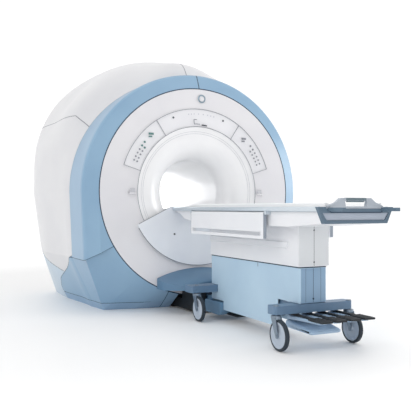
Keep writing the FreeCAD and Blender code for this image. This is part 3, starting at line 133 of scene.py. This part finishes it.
MATERIALS = {
    # Sprayed polyurethane covers: broad soft highlights on flat, faintly cloudy colour.
    "white_cover": moulded("sprayed polyurethane, warm white", "#dedee0", "#d9d9dc"),
    "disc_white": moulded("sprayed polyurethane, cool white", "#e3e2e5", "#dfdee2"),
    "blue_cover": moulded("sprayed polyurethane, mid blue", "#8fb0ca", "#88a9c5"),
    "pale_blue_cover": moulded("sprayed polyurethane, pale blue", "#c3d3e1", "#bccedd"),
    "plinth_blue": moulded("textured kick strip, deep blue", "#97b3cd", "#8caac6", 0.5, 2.0, 0.3),
    "bib_grey": moulded("sprayed polyurethane, light grey", "#e9edf2", "#e1e5ec"),
    # The bore is glossier, so light runs along it.
    "bore_white": moulded("gloss gel coat, white", "#f4f4f5", "#efeff1", 0.22),
    # Film, textured mouldings, coats and nylon: duller than the covers, with little highlight.
    "panel_white": moulded("membrane keypad film", "#e9e9ec", "#e4e4e8", 0.45),
    "dock_blue": moulded("textured moulding, slate blue", "#6689a6", "#5b7e9d", 0.45),
    "dark_metal": moulded("black powder coat", "#15191d", "#101316", 0.5),
    "screw_dark": moulded("dark nylon cap", "#565b62", "#4b5057", 0.4),
    "track_grey": moulded("low friction laminate", "#dfe3e6", "#d6dbdf", 0.3),
    "frame_blue": moulded("powder coat, slate blue", "#64809c", "#5b7793", 0.4),
    # Sprayed covers of the table.
    "pedestal_blue": moulded("sprayed polyurethane, sky blue", "#b9d3e5", "#b0cbdf"),
    "table_white": moulded("sprayed polyurethane, bright white", "#eaebee", "#e4e6ea"),
    # Anodised bar and the grips beside it: the bar mirrors the room softly, and the grips stay dull.
    "rail_metal": metal("anodised bar", "#d7dfe5", "#cdd6dd", 0.3),
    "handle_grey": moulded("grained grip moulding", "#b4bbc4", "#aab2bc", 0.5),
    "cradle_white": moulded("smooth laminate, white", "#f3f4f5", "#eef0f1", 0.3),
    # Ground and plated metal of the lift and casters, and their plain grey and black rubber.
    "cylinder_steel": metal("ground steel", "#a7abb0", "#9a9ea4", 0.3),
    "caster_zinc": metal("zinc plate", "#8c98a5", "#7f8c99", 0.35),
    "wheel_grey": moulded("grey caster wheel", "#b6c1ce", "#aab6c5", 0.5),
    "pedal_black": moulded("ribbed rubber, black", "#1e2329", "#171b21", 0.6),
    "lever_grey": moulded("dark grip", "#6f8088", "#64757e", 0.5),
    # Inside the magnet, behind the covers.
    "steel": moulded("painted vessel steel", "#b0b3b6", "#a6a9ad", 0.4),
    "winding": metal("copper winding", "#a8683c", "#96592f", 0.4),
    "resin": moulded("cast resin", "#c9bf9a", "#beb38d", 0.5),
    # Pieces added to the CAD: darker end panels painted as shade, dark strips painted as the shade in seams,
    # grooves and recesses, printed keys and lamps.
    # Painted shade of the steps on the bell and of the recessed sockets beside the bore.
    "ring_shadow": moulded("painted step and recess shade, soft grey", "#c6c7cc", "#bebfc5", 0.5),
    # Painted shade: darker copies of the table's cover colours for its end faces.
    "end_shade_blue": moulded("painted end-face shade, deeper sky blue", "#8fadc8", "#86a4c0", 0.4),
    "end_shade_white": moulded("painted end-face shade, grey white", "#d9dcdf", "#d1d5d9", 0.4),
    "rim_slate": moulded("grained grip moulding, slate", "#5f7485", "#586c7e", 0.5),
    # Painted shade: dark strips that stand for the shadow in the narrow gaps, grooves and recesses between
    # covers.
    "seam_shade_grey": moulded("painted seam shade, grey", "#8d9098", "#84878f", 0.6),
    "seam_shade_navy": moulded("painted seam shade, dark blue", "#2f4459", "#283d52", 0.6),
    "cap_grey": metal("satin anodised cap", "#9fb3c0", "#95a9b7", 0.35),
    "key_grey": moulded("printed key, grey", "#8a8d95", "#81848c", 0.5),
    "key_teal": moulded("printed key, teal", "#5d8482", "#547a79", 0.5),
    "glass_black": moulded("smoked display glass", "#4c4f57", "#45484f", 0.2),
    "lamp_lens": moulded("frosted lamp lens", "#c9c9d2", "#c0c0ca", 0.3),
    "inlay_grey": moulded("satin moulding, light grey", "#aab3c1", "#a1abb9", 0.4),
    # Painted shade for the end faces of the arm boards.
    "end_face_shade_slate": moulded("painted end-face shade, slate grey", "#98a1ac", "#8f98a4", 0.45),
    "tyre_black": moulded("thermoplastic rubber tyre", "#26323d", "#202b35", 0.6),
    "pedal_blue": moulded("moulded nylon, lavender blue", "#a9c2da", "#9fb9d3", 0.4),
    "vent_slate": moulded("louvre moulding, slate", "#8fa0b1", "#8697a9", 0.5),
}
for part in frame["record"]["subparts"]:
    mesh = NODES[part["node"]].data
    mesh.materials.clear()
    mesh.materials.append(MATERIALS[part["material_slot"]])
NODES["push_handle"].data.materials[0] = MATERIALS["rim_slate"]


# ---------------------------------------------------------------- makers
ISO = 0.5 * (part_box("front_disc")[0][2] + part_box("front_disc")[1][2])
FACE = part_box("front_disc")[0][1]
ALONG_BORE = Vector((0, 1, 0))
SIDE_SEAM_Y = -2.073
FLOOR_RADIUS = 11


def piece(shape, name, body, finish, smooth=35):
    """Close a bmesh, make it an object of the part that rides on a body, and give it its finish."""
    bmesh.ops.remove_doubles(shape, verts=shape.verts, dist=1e-6)
    bmesh.ops.recalc_face_normals(shape, faces=shape.faces)
    mesh = bpy.data.meshes.new(name)
    shape.to_mesh(mesh)
    shape.free()
    mesh.shade_smooth()
    mesh.set_sharp_from_angle(angle=math.radians(smooth))
    mesh.materials.append(MATERIALS[finish])
    thing = bpy.data.objects.new(name, mesh)
    bpy.context.scene.collection.objects.link(thing)
    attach(thing, body)
    return thing


def bevel(shape, edges, offset, segments=3):
    """Round the given edges."""
    bmesh.ops.bevel(shape, geom=edges, offset=offset, affect="EDGES", segments=segments, profile=0.5,
                    material=-1)


def slab(shape, low, high, soften=0.0):
    """Add a block between two corners, with its edges softened."""
    low, high = Vector(low), Vector(high)
    made = bmesh.ops.create_cube(shape, size=1)["verts"]
    bmesh.ops.scale(shape, vec=high - low, verts=made)
    bmesh.ops.translate(shape, vec=(low + high) / 2, verts=made)
    if soften:
        edges = {edge for vert in made for edge in vert.link_edges}
        before = set(shape.verts)
        bevel(shape, list(edges), soften)
        made = [v for v in shape.verts if v not in before] + [v for v in made if v.is_valid]
    return made


def lathe(shape, profile, centre, axis, steps=64):
    """Turn a profile of (radius, distance along the axis) once round an axis through the centre."""
    axis = Vector(axis).normalized()
    out = axis.orthogonal().normalized()
    corners = [shape.verts.new(Vector(centre) + out * radius + axis * along) for radius, along in profile]
    edges = [shape.edges.new(pair) for pair in zip(corners, corners[1:])]
    bmesh.ops.spin(shape, geom=corners + edges, cent=centre, axis=axis, angle=math.tau, steps=steps,
                   use_merge=True)


def ring(shape, radius, width, near, far, start=0.0, turn=360.0):
    """A flat bar bent round the bore's axis; angles run clockwise from the top, seen from the table."""
    corners = [shape.verts.new((0, y, ISO + radius + side * width / 2))
               for y, side in ((near, -1), (near, 1), (far, 1), (far, -1))]
    centre = Vector((0, 0, ISO))
    bmesh.ops.rotate(shape, verts=corners, cent=centre, matrix=Matrix.Rotation(math.radians(start), 3, "Y"))
    steps = max(4, round(turn / 3))
    if turn >= 360:
        edges = [shape.edges.new((corners[i], corners[i - 1])) for i in range(4)]
        bmesh.ops.spin(shape, geom=corners + edges, cent=centre, axis=ALONG_BORE, angle=math.tau, steps=steps,
                       use_merge=True)
    else:
        face = shape.faces.new(corners)
        bmesh.ops.spin(shape, geom=[face], cent=centre, axis=ALONG_BORE, angle=math.radians(turn),
                       steps=steps)


def spoke(shape, angle, inner, outer, width, near, far):
    """A thin straight line on the face of the disc, pointing away from the bore's axis."""
    made = slab(shape, (-width / 2, near, ISO + inner), (width / 2, far, ISO + outer))
    bmesh.ops.rotate(shape, verts=made, cent=(0, 0, ISO), matrix=Matrix.Rotation(math.radians(angle), 3, "Y"))


def on_disc(angle, radius):
    """The (x, z) of a place on the disc, at an angle clockwise from the top."""
    turn = math.radians(angle)
    return radius * math.sin(turn), ISO + radius * math.cos(turn)


def line(shape, a, b, width, near, far):
    """A thin straight bar between two places (x, z) on an upright face."""
    a, b = Vector((a[0], 0, a[1])), Vector((b[0], 0, b[1]))
    length = (b - a).length
    made = slab(shape, (-width / 2, near, 0), (width / 2, far, length))
    angle = math.atan2((b - a).x, (b - a).z)
    bmesh.ops.rotate(shape, verts=made, cent=(0, 0, 0), matrix=Matrix.Rotation(angle, 3, "Y"))
    bmesh.ops.translate(shape, vec=a, verts=made)


def key(shape, x, z, face, radius, height):
    """A low round key with a chamfered rim, standing on an upright face."""
    rim = height * 0.4
    lathe(shape, [(0, -height), (radius - rim, -height), (radius, -height + rim), (radius, 0.001),
                  (0, 0.001)], (x, face, z), ALONG_BORE, 20)


def sleeve(shape, low, high, radius, wall):
    """An upright rounded band, open at its top and bottom."""
    made = slab(shape, low, high)
    upright = [e for e in {e for v in made for e in v.link_edges}
               if abs((e.verts[0].co - e.verts[1].co).normalized().z) > 0.9]
    bevel(shape, upright, radius, 5)
    shape.normal_update()
    caps = [f for f in shape.faces if abs(f.normal.z) > 0.9]
    bmesh.ops.delete(shape, geom=caps, context="FACES")
    bmesh.ops.recalc_face_normals(shape, faces=shape.faces)
    bmesh.ops.solidify(shape, geom=shape.faces[:], thickness=wall)


def skin_strip(shape, nodes, start, end, across, width, lift=0.0002):
    """Add a narrow strip of the covers' own outer skin, along a seam that lies in one plane.

    The seam runs from start to end, and across is square to its plane. The strip stands a hair proud."""
    start, end, across = Vector(start), Vector(end), Vector(across).normalized()
    along = (end - start).normalized()
    strip = bmesh.new()
    for node in nodes:
        strip.from_mesh(NODES[node].data)
    bmesh.ops.remove_doubles(strip, verts=strip.verts, dist=1e-5)
    for place, outward in ((start, -along), (end, along), (start + across * width / 2, across),
                           (start - across * width / 2, -across)):
        bmesh.ops.bisect_plane(strip, geom=strip.verts[:] + strip.edges[:] + strip.faces[:], dist=1e-7,
                               plane_co=place, plane_no=outward, clear_outer=True)
    strip.normal_update()
    inner = []
    for face in strip.faces:
        middle = face.calc_center_median()
        away = Vector((middle.x, min(0.0, middle.y + 0.4), middle.z - ISO))
        if abs(face.normal.dot(across)) > 0.75 or face.normal.dot(away) <= 0:
            inner.append(face)
    bmesh.ops.delete(strip, geom=inner, context="FACES")
    for vert in strip.verts:
        vert.co += vert.normal * lift
    if strip.faces:
        bmesh.ops.solidify(strip, geom=strip.faces[:], thickness=0.0004)
    spare = bpy.data.meshes.new("spare")
    strip.to_mesh(spare)
    strip.free()
    shape.from_mesh(spare)
    bpy.data.meshes.remove(spare)


def side_line(shape, nodes, start, end, width):
    """A seam that is straight when seen from the side; start and end are (y, z)."""
    run = Vector((0, end[0] - start[0], end[1] - start[1]))
    skin_strip(shape, nodes, (0, *start), (0, *end), (0, -run.z, run.y), width)


# ---------------------------------------------------------------- front disc
def front_disc():
    """Dark lines painted as the shade in the seams round the disc and its control band, keypads, display marks
    and the plain cap on the white disc.
    """
    band_inner, band_outer = 0.59, 0.75
    band_end, display_end = 72.5, 33.5
    near = FACE - 0.0005
    far = FACE + 0.002
    # Painted shade: a dark ring where the disc meets the blue ring.
    edge = bmesh.new()
    ring(edge, 0.9325, 0.009, near, far)
    piece(edge, "disc_edge_shade_line", "magnet", "seam_shade_navy")

    # Painted shade: grey lines in the seams of the control band.
    seams = bmesh.new()
    ring(seams, band_outer, 0.0045, near, far, -band_end, 2 * band_end)
    ring(seams, band_inner, 0.0045, near, far, -118.0, 236.0)
    for angle in (-band_end, -display_end, display_end, band_end):
        spoke(seams, angle, band_inner, band_outer, 0.004, near, far)
    piece(seams, "control_band_seams", "magnet", "seam_shade_grey")

    cap_centre = (0.026, FACE, 1.900)
    cap = bmesh.new()
    lathe(cap, [(0.025, 0.001), (0.026, -0.0040), (0.030, -0.0055), (0.035, -0.0050), (0.0375, -0.0020),
                (0.0375, 0.001), (0.025, 0.001)], cap_centre, ALONG_BORE)
    piece(cap, "plain_cap_ring", "magnet", "cap_grey")
    dome = bmesh.new()
    lathe(dome, [(0, -0.0050), (0.012, -0.0045), (0.022, -0.0030), (0.0252, -0.0010), (0.0252, 0.001),
                 (0, 0.001)], cap_centre, ALONG_BORE)
    piece(dome, "plain_cap_dome", "magnet", "disc_white")

    for label, side, inner, outer in (("left", -1, 0.648, 0.678), ("right", 1, 0.660, 0.694)):
        print_colour = "key_teal" if side < 0 else "key_grey"
        keys = bmesh.new()
        for angle in (57.5, 60.6, 63.6, 66.6):
            for radius in (inner, outer):
                x, z = on_disc(side * angle, radius)
                key(keys, x, z, near, 0.0080, 0.0018)
        piece(keys, "keypad_keys_" + label, "magnet", "key_grey")
        first = bmesh.new()
        for angle, radius in ((50.8, outer), (54.2, inner), (54.2, outer)):
            x, z = on_disc(side * angle, radius)
            key(first, x, z, near, 0.0095, 0.0018)
        piece(first, "keypad_scan_keys_" + label, "magnet", print_colour)
        window = bmesh.new()
        x, z = on_disc(side * 43.0, 0.682)
        slab(window, (x - 0.024, near - 0.0012, z - 0.004), (x + 0.024, near + 0.001, z + 0.014), 0.001)
        slab(window, (x - 0.024, near - 0.0012, z - 0.026), (x + 0.010, near + 0.001, z - 0.013), 0.001)
        piece(window, "keypad_window_" + label, "magnet", print_colour)

    display = bmesh.new()
    ring(display, 0.655, 0.006, near - 0.001, near + 0.001, -4.6, 2.6)
    spoke(display, -4.6, 0.614, 0.655, 0.006, near - 0.001, near + 0.001)
    ring(display, 0.614, 0.006, near - 0.001, near + 0.001, -4.6, 5.4)
    piece(display, "display_bracket", "magnet", "key_grey")
    bar = bmesh.new()
    ring(bar, 0.607, 0.012, near - 0.0014, near + 0.001, 2.4, 5.0)
    piece(bar, "display_bar", "magnet", "glass_black")
    lamps = bmesh.new()
    for angle in (-8.5, -6.3, -4.1, -0.5, 3.4, 7.0, 9.6, 12.2):
        x, z = on_disc(angle, 0.705)
        key(lamps, x, z, near, 0.0055, 0.0012)
    piece(lamps, "display_lamps", "magnet", "lamp_lens")


def bib_and_bell():
    """The groove round the bib and fine rings on the bell, drawn as lines of painted shade, and at each side of
    the bore a ledge with a grey plate painted as the shade of the recessed socket above it.
    """
    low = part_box("bib_cover")[0]
    # Painted shadow: a grey line along the bib's lower edge.
    groove = bmesh.new()
    ring(groove, 0.6625, 0.006, low[1] + 0.002, FACE - 0.0002, 119.0, 122.0)
    for side in (-1, 1):
        line(groove, (side * 0.577, 0.7705), (side * 0.272, 0.9225), 0.005, low[1] + 0.002, FACE - 0.0002)
    piece(groove, "bib_edge_groove", "magnet", "seam_shade_grey")

    bell = bmesh.new()
    bell.from_mesh(NODES["flare_bell"].data)
    tree = BVHTree.FromBMesh(bell)
    bell.free()
    # Painted shade: two fine grey rings on the bell.
    lines = bmesh.new()
    for radius in (0.548, 0.530):
        depth = tree.ray_cast(Vector((0, FACE - 0.2, ISO + radius)), ALONG_BORE)[0].y
        ring(lines, radius, 0.003, depth - 0.0006, depth + 0.001)
    piece(lines, "bell_rings", "magnet", "ring_shadow")

    for label, side in (("left", -1), ("right", 1)):
        middle = side * 0.636
        ledge = bmesh.new()
        slab(ledge, (middle - 0.030, FACE - 0.008, 1.030), (middle + 0.030, FACE + 0.002, 1.043), 0.003)
        piece(ledge, "accessory_ledge_" + label, "magnet", "disc_white")
        # Painted shade: a grey plate where the socket is recessed.
        pocket = bmesh.new()
        slab(pocket, (middle - 0.022, FACE - 0.0012, 1.044), (middle + 0.022, FACE + 0.001, 1.082), 0.0008)
        piece(pocket, "accessory_socket_shade_" + label, "magnet", "ring_shadow")


# ---------------------------------------------------------------- cover seams
def cover_seams():
    """Dark strips painted as the shade in the gaps between the covers, cut from the covers' own skin so that
    they follow it.
    """
    blue_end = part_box("ring_cover_left")[1][1]
    ring_covers = ["ring_cover_left", "ring_cover_right"]
    base = ["base_cover_left", "base_cover_right", "base_cover_centre", "toe_plinth"]
    crown = bmesh.new()
    skin_strip(crown, ring_covers, (0, 0, 1.9), (0, 0, 2.2), (1, 0, 0), 0.008)
    for side in (-1, 1):
        knee = (side * 1.045, 0, 0.4634)
        skin_strip(crown, ring_covers + base, (side * 0.70, 0, 0.634), knee, (0.496 * side, 0, 1), 0.006)
        skin_strip(crown, ring_covers + base, knee, (side * 1.2, 0, 0.4634), (0, 0, 1), 0.006)
    piece(crown, "ring_seams", "magnet", "seam_shade_navy")
    spine = bmesh.new()
    skin_strip(spine, ["top_cover_left", "top_cover_right"], (0, 0, 1.9), (0, 0, 2.6), (1, 0, 0), 0.007)
    piece(spine, "top_cover_seam", "magnet", "seam_shade_grey")

    flank = ["top_cover_left", "top_cover_right", "side_panel_left", "side_panel_right"]
    # Where the seam between the side panel and the top cover turns level, as (y, z).
    kink = (-0.24, 1.7645)
    side = bmesh.new()
    side_line(side, flank, (-0.60, 1.5162), kink, 0.006)
    side_line(side, flank, kink, (0.858, 1.7462), 0.006)
    piece(side, "side_panel_seams", "magnet", "seam_shade_grey")

    lower = ["side_panel_left", "side_panel_right", "rear_skirt_left", "rear_skirt_right"]
    skirt = bmesh.new()
    side_line(skirt, lower, (0.09, 0.2964), (0.858, 0.4424), 0.005)
    blue = lower + ["base_cover_left", "base_cover_right"]
    # The lower edge of the blue covers, as (y, z) from the ring back and down to the floor.
    edge = [(blue_end, 0.480), (-0.23, 0.425), (-0.05, 0.340), (0.27, 0.215), (0.375, 0.118), (0.34, 0.020)]
    for start, end in zip(edge, edge[1:]):
        side_line(skirt, blue, start, end, 0.005)
    piece(skirt, "skirt_seams", "magnet", "seam_shade_navy")

    toe = bmesh.new()
    skin_strip(toe, base, (0, -0.9, 0.0655), (0, 0.45, 0.0655), (0, 0, 1), 0.005)
    for side in (-1, 1):
        skin_strip(toe, base, (side * 0.3004, 0, 0.004), (side * 0.3004, 0, 0.3), (1, 0, 0), 0.006)
    piece(toe, "base_seams", "magnet", "seam_shade_navy")


# ---------------------------------------------------------------- table
def table_ends():
    """Darker end panels painted as the shade on the lifting table's end faces, dark strips painted as the shade
    in its seams, screw caps, and a dark band painted as the shadow gap where the housing meets the pedestal.
    """
    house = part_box("upper_housing")
    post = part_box("lower_pedestal")
    # Painted shade: each end face gets a plate in a darker copy of its cover's colour.
    for name, box, top, low, body, finish, slot_name in (
            ("housing_end_shade_panel", house, 0.787, house[0][2] + 0.003, "table_top", "end_shade_white", "table_white"),
            ("pedestal_end_shade_panel", post, 0.511, 0.283, "table_base", "end_shade_blue", "pedestal_blue")):
        panel = bmesh.new()
        slab(panel, (box[0][0] + 0.011, box[0][1] - 0.0003, low),
             (box[1][0] - 0.011, box[0][1] + 0.001, top), 0.0002)
        piece(panel, name, body, finish)
    # A dark strip painted as the shade in the centre seam of the housing's end, and two screw caps.
    seam = bmesh.new()
    slab(seam, (-0.0015, house[0][1] - 0.0006, house[0][2] + 0.004), (0.0015, house[0][1] + 0.001, 0.786))
    for z in (0.552, 0.762):
        key(seam, 0.0, z, house[0][1], 0.006, 0.0022)
    piece(seam, "housing_end_seam", "table_top", "screw_dark")
    # Dark strips painted as the shade in the seams of the pedestal's end, and a screw cap in the same dark
    # blue.
    lower = bmesh.new()
    slab(lower, (-0.0015, post[0][1] - 0.0006, 0.288), (0.0015, post[0][1] + 0.001, 0.510))
    key(lower, 0.0, 0.310, post[0][1], 0.007, 0.0022)
    for x in (-0.060, 0.060):
        slab(lower, (x - 0.001, post[0][1] - 0.0005, 0.288), (x + 0.001, post[0][1] + 0.001, 0.510))
    piece(lower, "pedestal_end_seam", "table_base", "seam_shade_navy")
    # The short upright seam under the housing, on both long sides of the pedestal, drawn as a dark strip of
    # painted shade.
    notch = bmesh.new()
    for side, edge in ((-1, post[0][0]), (1, post[1][0])):
        inner, outer = sorted((edge - side * 0.001, edge + side * 0.0006))
        slab(notch, (inner, SIDE_SEAM_Y - 0.002, 0.484), (outer, SIDE_SEAM_Y + 0.002, 0.516))
    piece(notch, "pedestal_side_seam", "table_base", "seam_shade_navy")

    # Painted shadow: a dark band in the gap under the housing's rim.
    collar = bmesh.new()
    rim = house[0][2]
    sleeve(collar, (post[0][0] - 0.0012, post[0][1] - 0.0012, rim - 0.009),
           (post[1][0] + 0.0012, post[1][1] + 0.0012, rim + 0.02), 0.014, 0.001)
    piece(collar, "pedestal_gap_shadow_band", "table_base", "seam_shade_navy")


def handles():
    """The inlay of the push handle with a dark strip painted as the shade in its groove, the grip of the
    cradle's loop, and darker plates painted as the shade on the arm boards' end faces.
    """
    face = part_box("deck_tray")[0][1] - 0.0003 - 0.018
    panel = bmesh.new()
    made = slab(panel, (-1.0, face - 0.004, 0.8355), (1.0, face, 0.8795))
    for vert in made:
        half = 0.249 if vert.co.z > 0.86 else 0.2185
        vert.co.x = math.copysign(half, vert.co.x)
    bevel(panel, panel.edges[:], 0.002, 2)
    piece(panel, "push_handle_inlay", "table_top", "inlay_grey")
    # Painted shade: a dark strip along the handle's groove.
    groove = bmesh.new()
    line(groove, (-0.190, 0.8815), (0.190, 0.8815), 0.006, face - 0.0088, face - 0.0075)
    for side in (-1, 1):
        line(groove, (side * 0.190, 0.8815), (side * 0.210, 0.902), 0.006, face - 0.0088, face - 0.0075)
    piece(groove, "push_handle_groove", "table_top", "seam_shade_navy")

    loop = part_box("cradle_handle")
    grip = bmesh.new()
    slab(grip, (-0.078, loop[0][1] - 0.0035, loop[1][2] - 0.0155),
         (0.078, loop[1][1] + 0.003, loop[1][2] + 0.0015), 0.006)
    piece(grip, "loop_grip", "cradle", "lever_grey")

    # Painted shade: a darker plate on each end face of an arm board.
    for label in ("left", "right"):
        low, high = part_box("arm_board_" + label)
        caps = bmesh.new()
        for y in (low[1] - 0.003, high[1]):
            slab(caps, (low[0] + 0.002, y, low[2] + 0.003),
                 (high[0] - 0.002, y + 0.003, high[2] - 0.003), 0.0012)
        piece(caps, "arm_board_end_shade_" + label, "arm_board_" + label, "end_face_shade_slate")


def wheels():
    """Each caster wheel as a tyre on a dished rim, which replaces the plain CAD wheel, and its swivel race."""
    for corner in ("front_left", "front_right", "rear_left", "rear_right"):
        low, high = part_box("wheel_" + corner)
        centre = (Vector(low) + Vector(high)) / 2
        half = (high[0] - low[0]) / 2
        across = (1, 0, 0)
        tyre = bmesh.new()
        lathe(tyre, [(0.082, -0.011), (0.086, -0.0145), (0.093, -0.0155), (0.0978, -0.012),
                     (0.0998, -0.006), (0.1, 0), (0.0998, 0.006), (0.0978, 0.012), (0.093, 0.0155),
                     (0.086, 0.0145), (0.082, 0.011), (0.082, -0.011)], centre, across, 96)
        piece(tyre, "tyre_" + corner, "wheel_" + corner, "tyre_black")
        rim = bmesh.new()
        lathe(rim, [(0, -half), (0.013, -half), (0.016, -half + 0.002), (0.020, -0.008), (0.030, -0.0065),
                    (0.064, -0.0065), (0.070, -0.0125), (0.0832, -0.0135), (0.0832, 0.0135), (0.070, 0.0125),
                    (0.064, 0.0065), (0.030, 0.0065), (0.020, 0.008), (0.016, half - 0.002), (0.013, half),
                    (0, half)], centre, across, 96)
        wheel = piece(rim, "rim_" + corner, "wheel_" + corner, "wheel_grey")
        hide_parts("wheel_" + corner)
        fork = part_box("caster_fork_" + corner)
        stem = 0.5 * (fork[0][0] + fork[1][0])
        guard = bmesh.new()
        top = 0.2215
        stem_y = centre.y + 0.04
        lathe(guard, [(0.013, 0), (0.030, 0), (0.034, -0.003), (0.034, -0.008), (0.031, -0.012),
                      (0.013, -0.012), (0.013, 0)], (stem, stem_y, top), (0, 0, 1), 48)
        piece(guard, "swivel_race_" + corner, "fork_" + corner, "caster_zinc")


def pedals():
    """Ribs and fairings that move with each pedal, and the cowl below, which clears them when they are down."""
    for number in range(1, 5):
        name = "pedal_%d" % number
        low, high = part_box(name)
        ribs = bmesh.new()
        for step in range(7):
            y = low[1] + 0.018 + 0.019 * step
            slab(ribs, (low[0] + 0.006, y, high[2] - 0.001),
                 (high[0] - 0.006, y + 0.008, high[2] + 0.0016), 0.0006)
        piece(ribs, "tread_ribs_%d" % number, name, "pedal_black")
        middle = (low[0] + high[0]) / 2
        arm = bmesh.new()
        made = slab(arm, (middle - 0.030, low[1] + 0.040, 0.178), (middle + 0.030, low[1] + 0.400, 0.2035))
        for vert in made:
            if vert.co.y < low[1] + 0.1:
                vert.co.x = middle + 0.8 * (vert.co.x - middle)
                vert.co.z = max(vert.co.z, 0.192)
        bevel(arm, arm.edges[:], 0.006, 3)
        piece(arm, "pedal_arm_fairing_%d" % number, name, "pedal_blue")
    cowl = bmesh.new()
    made = slab(cowl, (-0.140, -2.745, 0.112), (0.138, -2.470, 0.168))
    for vert in made:
        if vert.co.y < -2.6:
            vert.co.x *= 0.86
            vert.co.z = 0.128 if vert.co.z > 0.15 else 0.100
    bevel(cowl, cowl.edges[:], 0.020, 5)
    piece(cowl, "pedal_cowl", "table_base", "pedal_blue")


def docking():
    """The pin in the latch box, and the skid under the table's arm."""
    low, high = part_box("dock_latch")
    pin = bmesh.new()
    lathe(pin, [(0, -0.006), (0.008, -0.006), (0.011, -0.003), (0.011, 0.004), (0, 0.004)],
          (low[0] + 0.02, low[1] + 0.008, 0.118), ALONG_BORE, 32)
    piece(pin, "latch_pin", "magnet", "cylinder_steel")
    skid = bmesh.new()
    slab(skid, (-0.075, -1.700, 0.050), (0.075, -1.400, 0.066), 0.005)
    piece(skid, "docking_skid", "table_base", "dark_metal")


def back_of_magnet():
    """Louvres, panel seams drawn as grey lines of painted shade, and screw caps on the plain back."""
    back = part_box("rear_cover")[1][1]
    louvres = bmesh.new()
    for side in (-1, 1):
        for row in range(9):
            z = 0.250 + 0.030 * row
            slab(louvres, (side * 0.62 - 0.150, back - 0.002, z),
                 (side * 0.62 + 0.150, back + 0.004, z + 0.012), 0.003)
    piece(louvres, "rear_louvres", "magnet", "vent_slate")
    doors = bmesh.new()
    for side in (-1, 1):
        line(doors, (side * 0.36, 0.10), (side * 0.36, 0.62), 0.004, back - 0.001, back + 0.0006)
        line(doors, (side * 0.36, 0.62), (side * 0.95, 0.62), 0.004, back - 0.001, back + 0.0006)
    ring(doors, 0.60, 0.004, back - 0.001, back + 0.0006)
    piece(doors, "rear_panel_seams", "magnet", "seam_shade_grey")
    caps = bmesh.new()
    for angle in range(0, 360, 45):
        x, z = on_disc(angle + 22.5, 0.54)
        lathe(caps, [(0, 0.0035), (0.010, 0.0035), (0.013, 0.001), (0.013, -0.002), (0, -0.002)],
              (x, back, z), ALONG_BORE, 24)
    piece(caps, "rear_screw_caps", "magnet", "screw_dark")


front_disc()
bib_and_bell()
cover_seams()
table_ends()
handles()
wheels()
pedals()
docking()
back_of_magnet()


# ---------------------------------------------------------------- stage
def studio():
    """A pale floor with painted light that glows more strongly away from the scanner, a white surround, soft
    lights, and the camera.
    """
    floor_mesh = bpy.data.meshes.new("floor")
    shape = bmesh.new()
    bmesh.ops.create_circle(shape, cap_ends=True, segments=96, radius=FLOOR_RADIUS)
    shape.to_mesh(floor_mesh)
    floor = bpy.data.objects.new("floor", floor_mesh)
    bpy.context.scene.collection.objects.link(floor)
    paint, tree, shader, place = start("pale studio floor")
    shader.inputs["Base Color"].default_value = linear("#fafafa")
    shader.inputs["Roughness"].default_value = 0.6
    # Painted light: the floor glows faintly near the scanner and more strongly further out, so that it blends
    # into the white surround.
    reach = add(tree, "ShaderNodeVectorMath", {0: place}, operation="LENGTH")
    painted_glow = add(tree, "ShaderNodeMapRange", {"Value": reach.outputs["Value"], "From Min": 3.2, "From Max": 6.5,
                                            "To Min": 0.02, "To Max": 0.35})
    tree.links.new(painted_glow.outputs["Result"], shader.inputs["Emission Strength"])
    shader.inputs["Emission Color"].default_value = (1, 1, 1, 1)
    floor.data.materials.append(paint)

    world = bpy.data.worlds.new("surround")
    world.use_nodes = True
    world.node_tree.nodes["Background"].inputs["Color"].default_value = (1, 1, 1, 1)
    world.node_tree.nodes["Background"].inputs["Strength"].default_value = 0.62
    bpy.context.scene.world = world

    wall_mesh = bpy.data.meshes.new("backdrop")
    wall = bmesh.new()
    bmesh.ops.create_grid(wall, x_segments=2, y_segments=2, size=40)
    bmesh.ops.rotate(wall, verts=wall.verts, cent=(0, 0, 0), matrix=Matrix.Rotation(math.radians(90), 3, "X"))
    bmesh.ops.translate(wall, verts=wall.verts, vec=(0, 14, 10))
    wall.to_mesh(wall_mesh)
    wall.free()
    backdrop = bpy.data.objects.new("backdrop", wall_mesh)
    bpy.context.scene.collection.objects.link(backdrop)
    paper, _, shader, _ = start("lit paper backdrop")
    shader.inputs["Emission Color"].default_value = (1, 1, 1, 1)
    shader.inputs["Emission Strength"].default_value = 1.05
    shader.inputs["Base Color"].default_value = (0, 0, 0, 1)
    backdrop.data.materials.append(paper)

    for name, spot, aim, size, spread, watts in (("key", (-7.0, -4.5, 5.0), (0, -1, 0.9), 4.0, 180, 135),
                                                 ("top", (0.5, -2.5, 7.0), (0, -2.5, 0), 6.0, 180, 90),
                                                 ("rim", (5.0, -2.4, 1.8), (0.9, -0.8, 1.2), 2.0, 180, 90),
                                                 ("fill", (-1.2, -7.5, 0.5), (0, -1, 0.3), 2.5, 180, 30),
                                                 ("bore", (0.0, 1.3, 1.06), (0.1, 0, 1.06), 0.5, 50, 2.2)):
        light = bpy.data.lights.new(name, "AREA")
        light.size = size
        light.spread = math.radians(spread)
        light.energy = watts
        lamp = bpy.data.objects.new(name, light)
        lamp.location = spot
        lamp.rotation_euler = (Vector(aim) - Vector(spot)).to_track_quat("-Z", "Y").to_euler()
        bpy.context.scene.collection.objects.link(lamp)

    view = bpy.data.cameras.new("camera")
    view.lens = 55.3
    view.sensor_width = 36.0
    camera = bpy.data.objects.new("camera", view)
    camera.location = (-2.485, -6.033, 0.908)
    camera.rotation_euler = (math.radians(90 + 0.185), 0, math.radians(-26.28))
    bpy.context.scene.collection.objects.link(camera)
    bpy.context.scene.camera = camera
    bpy.context.scene.view_settings.view_transform = "Standard"


studio()
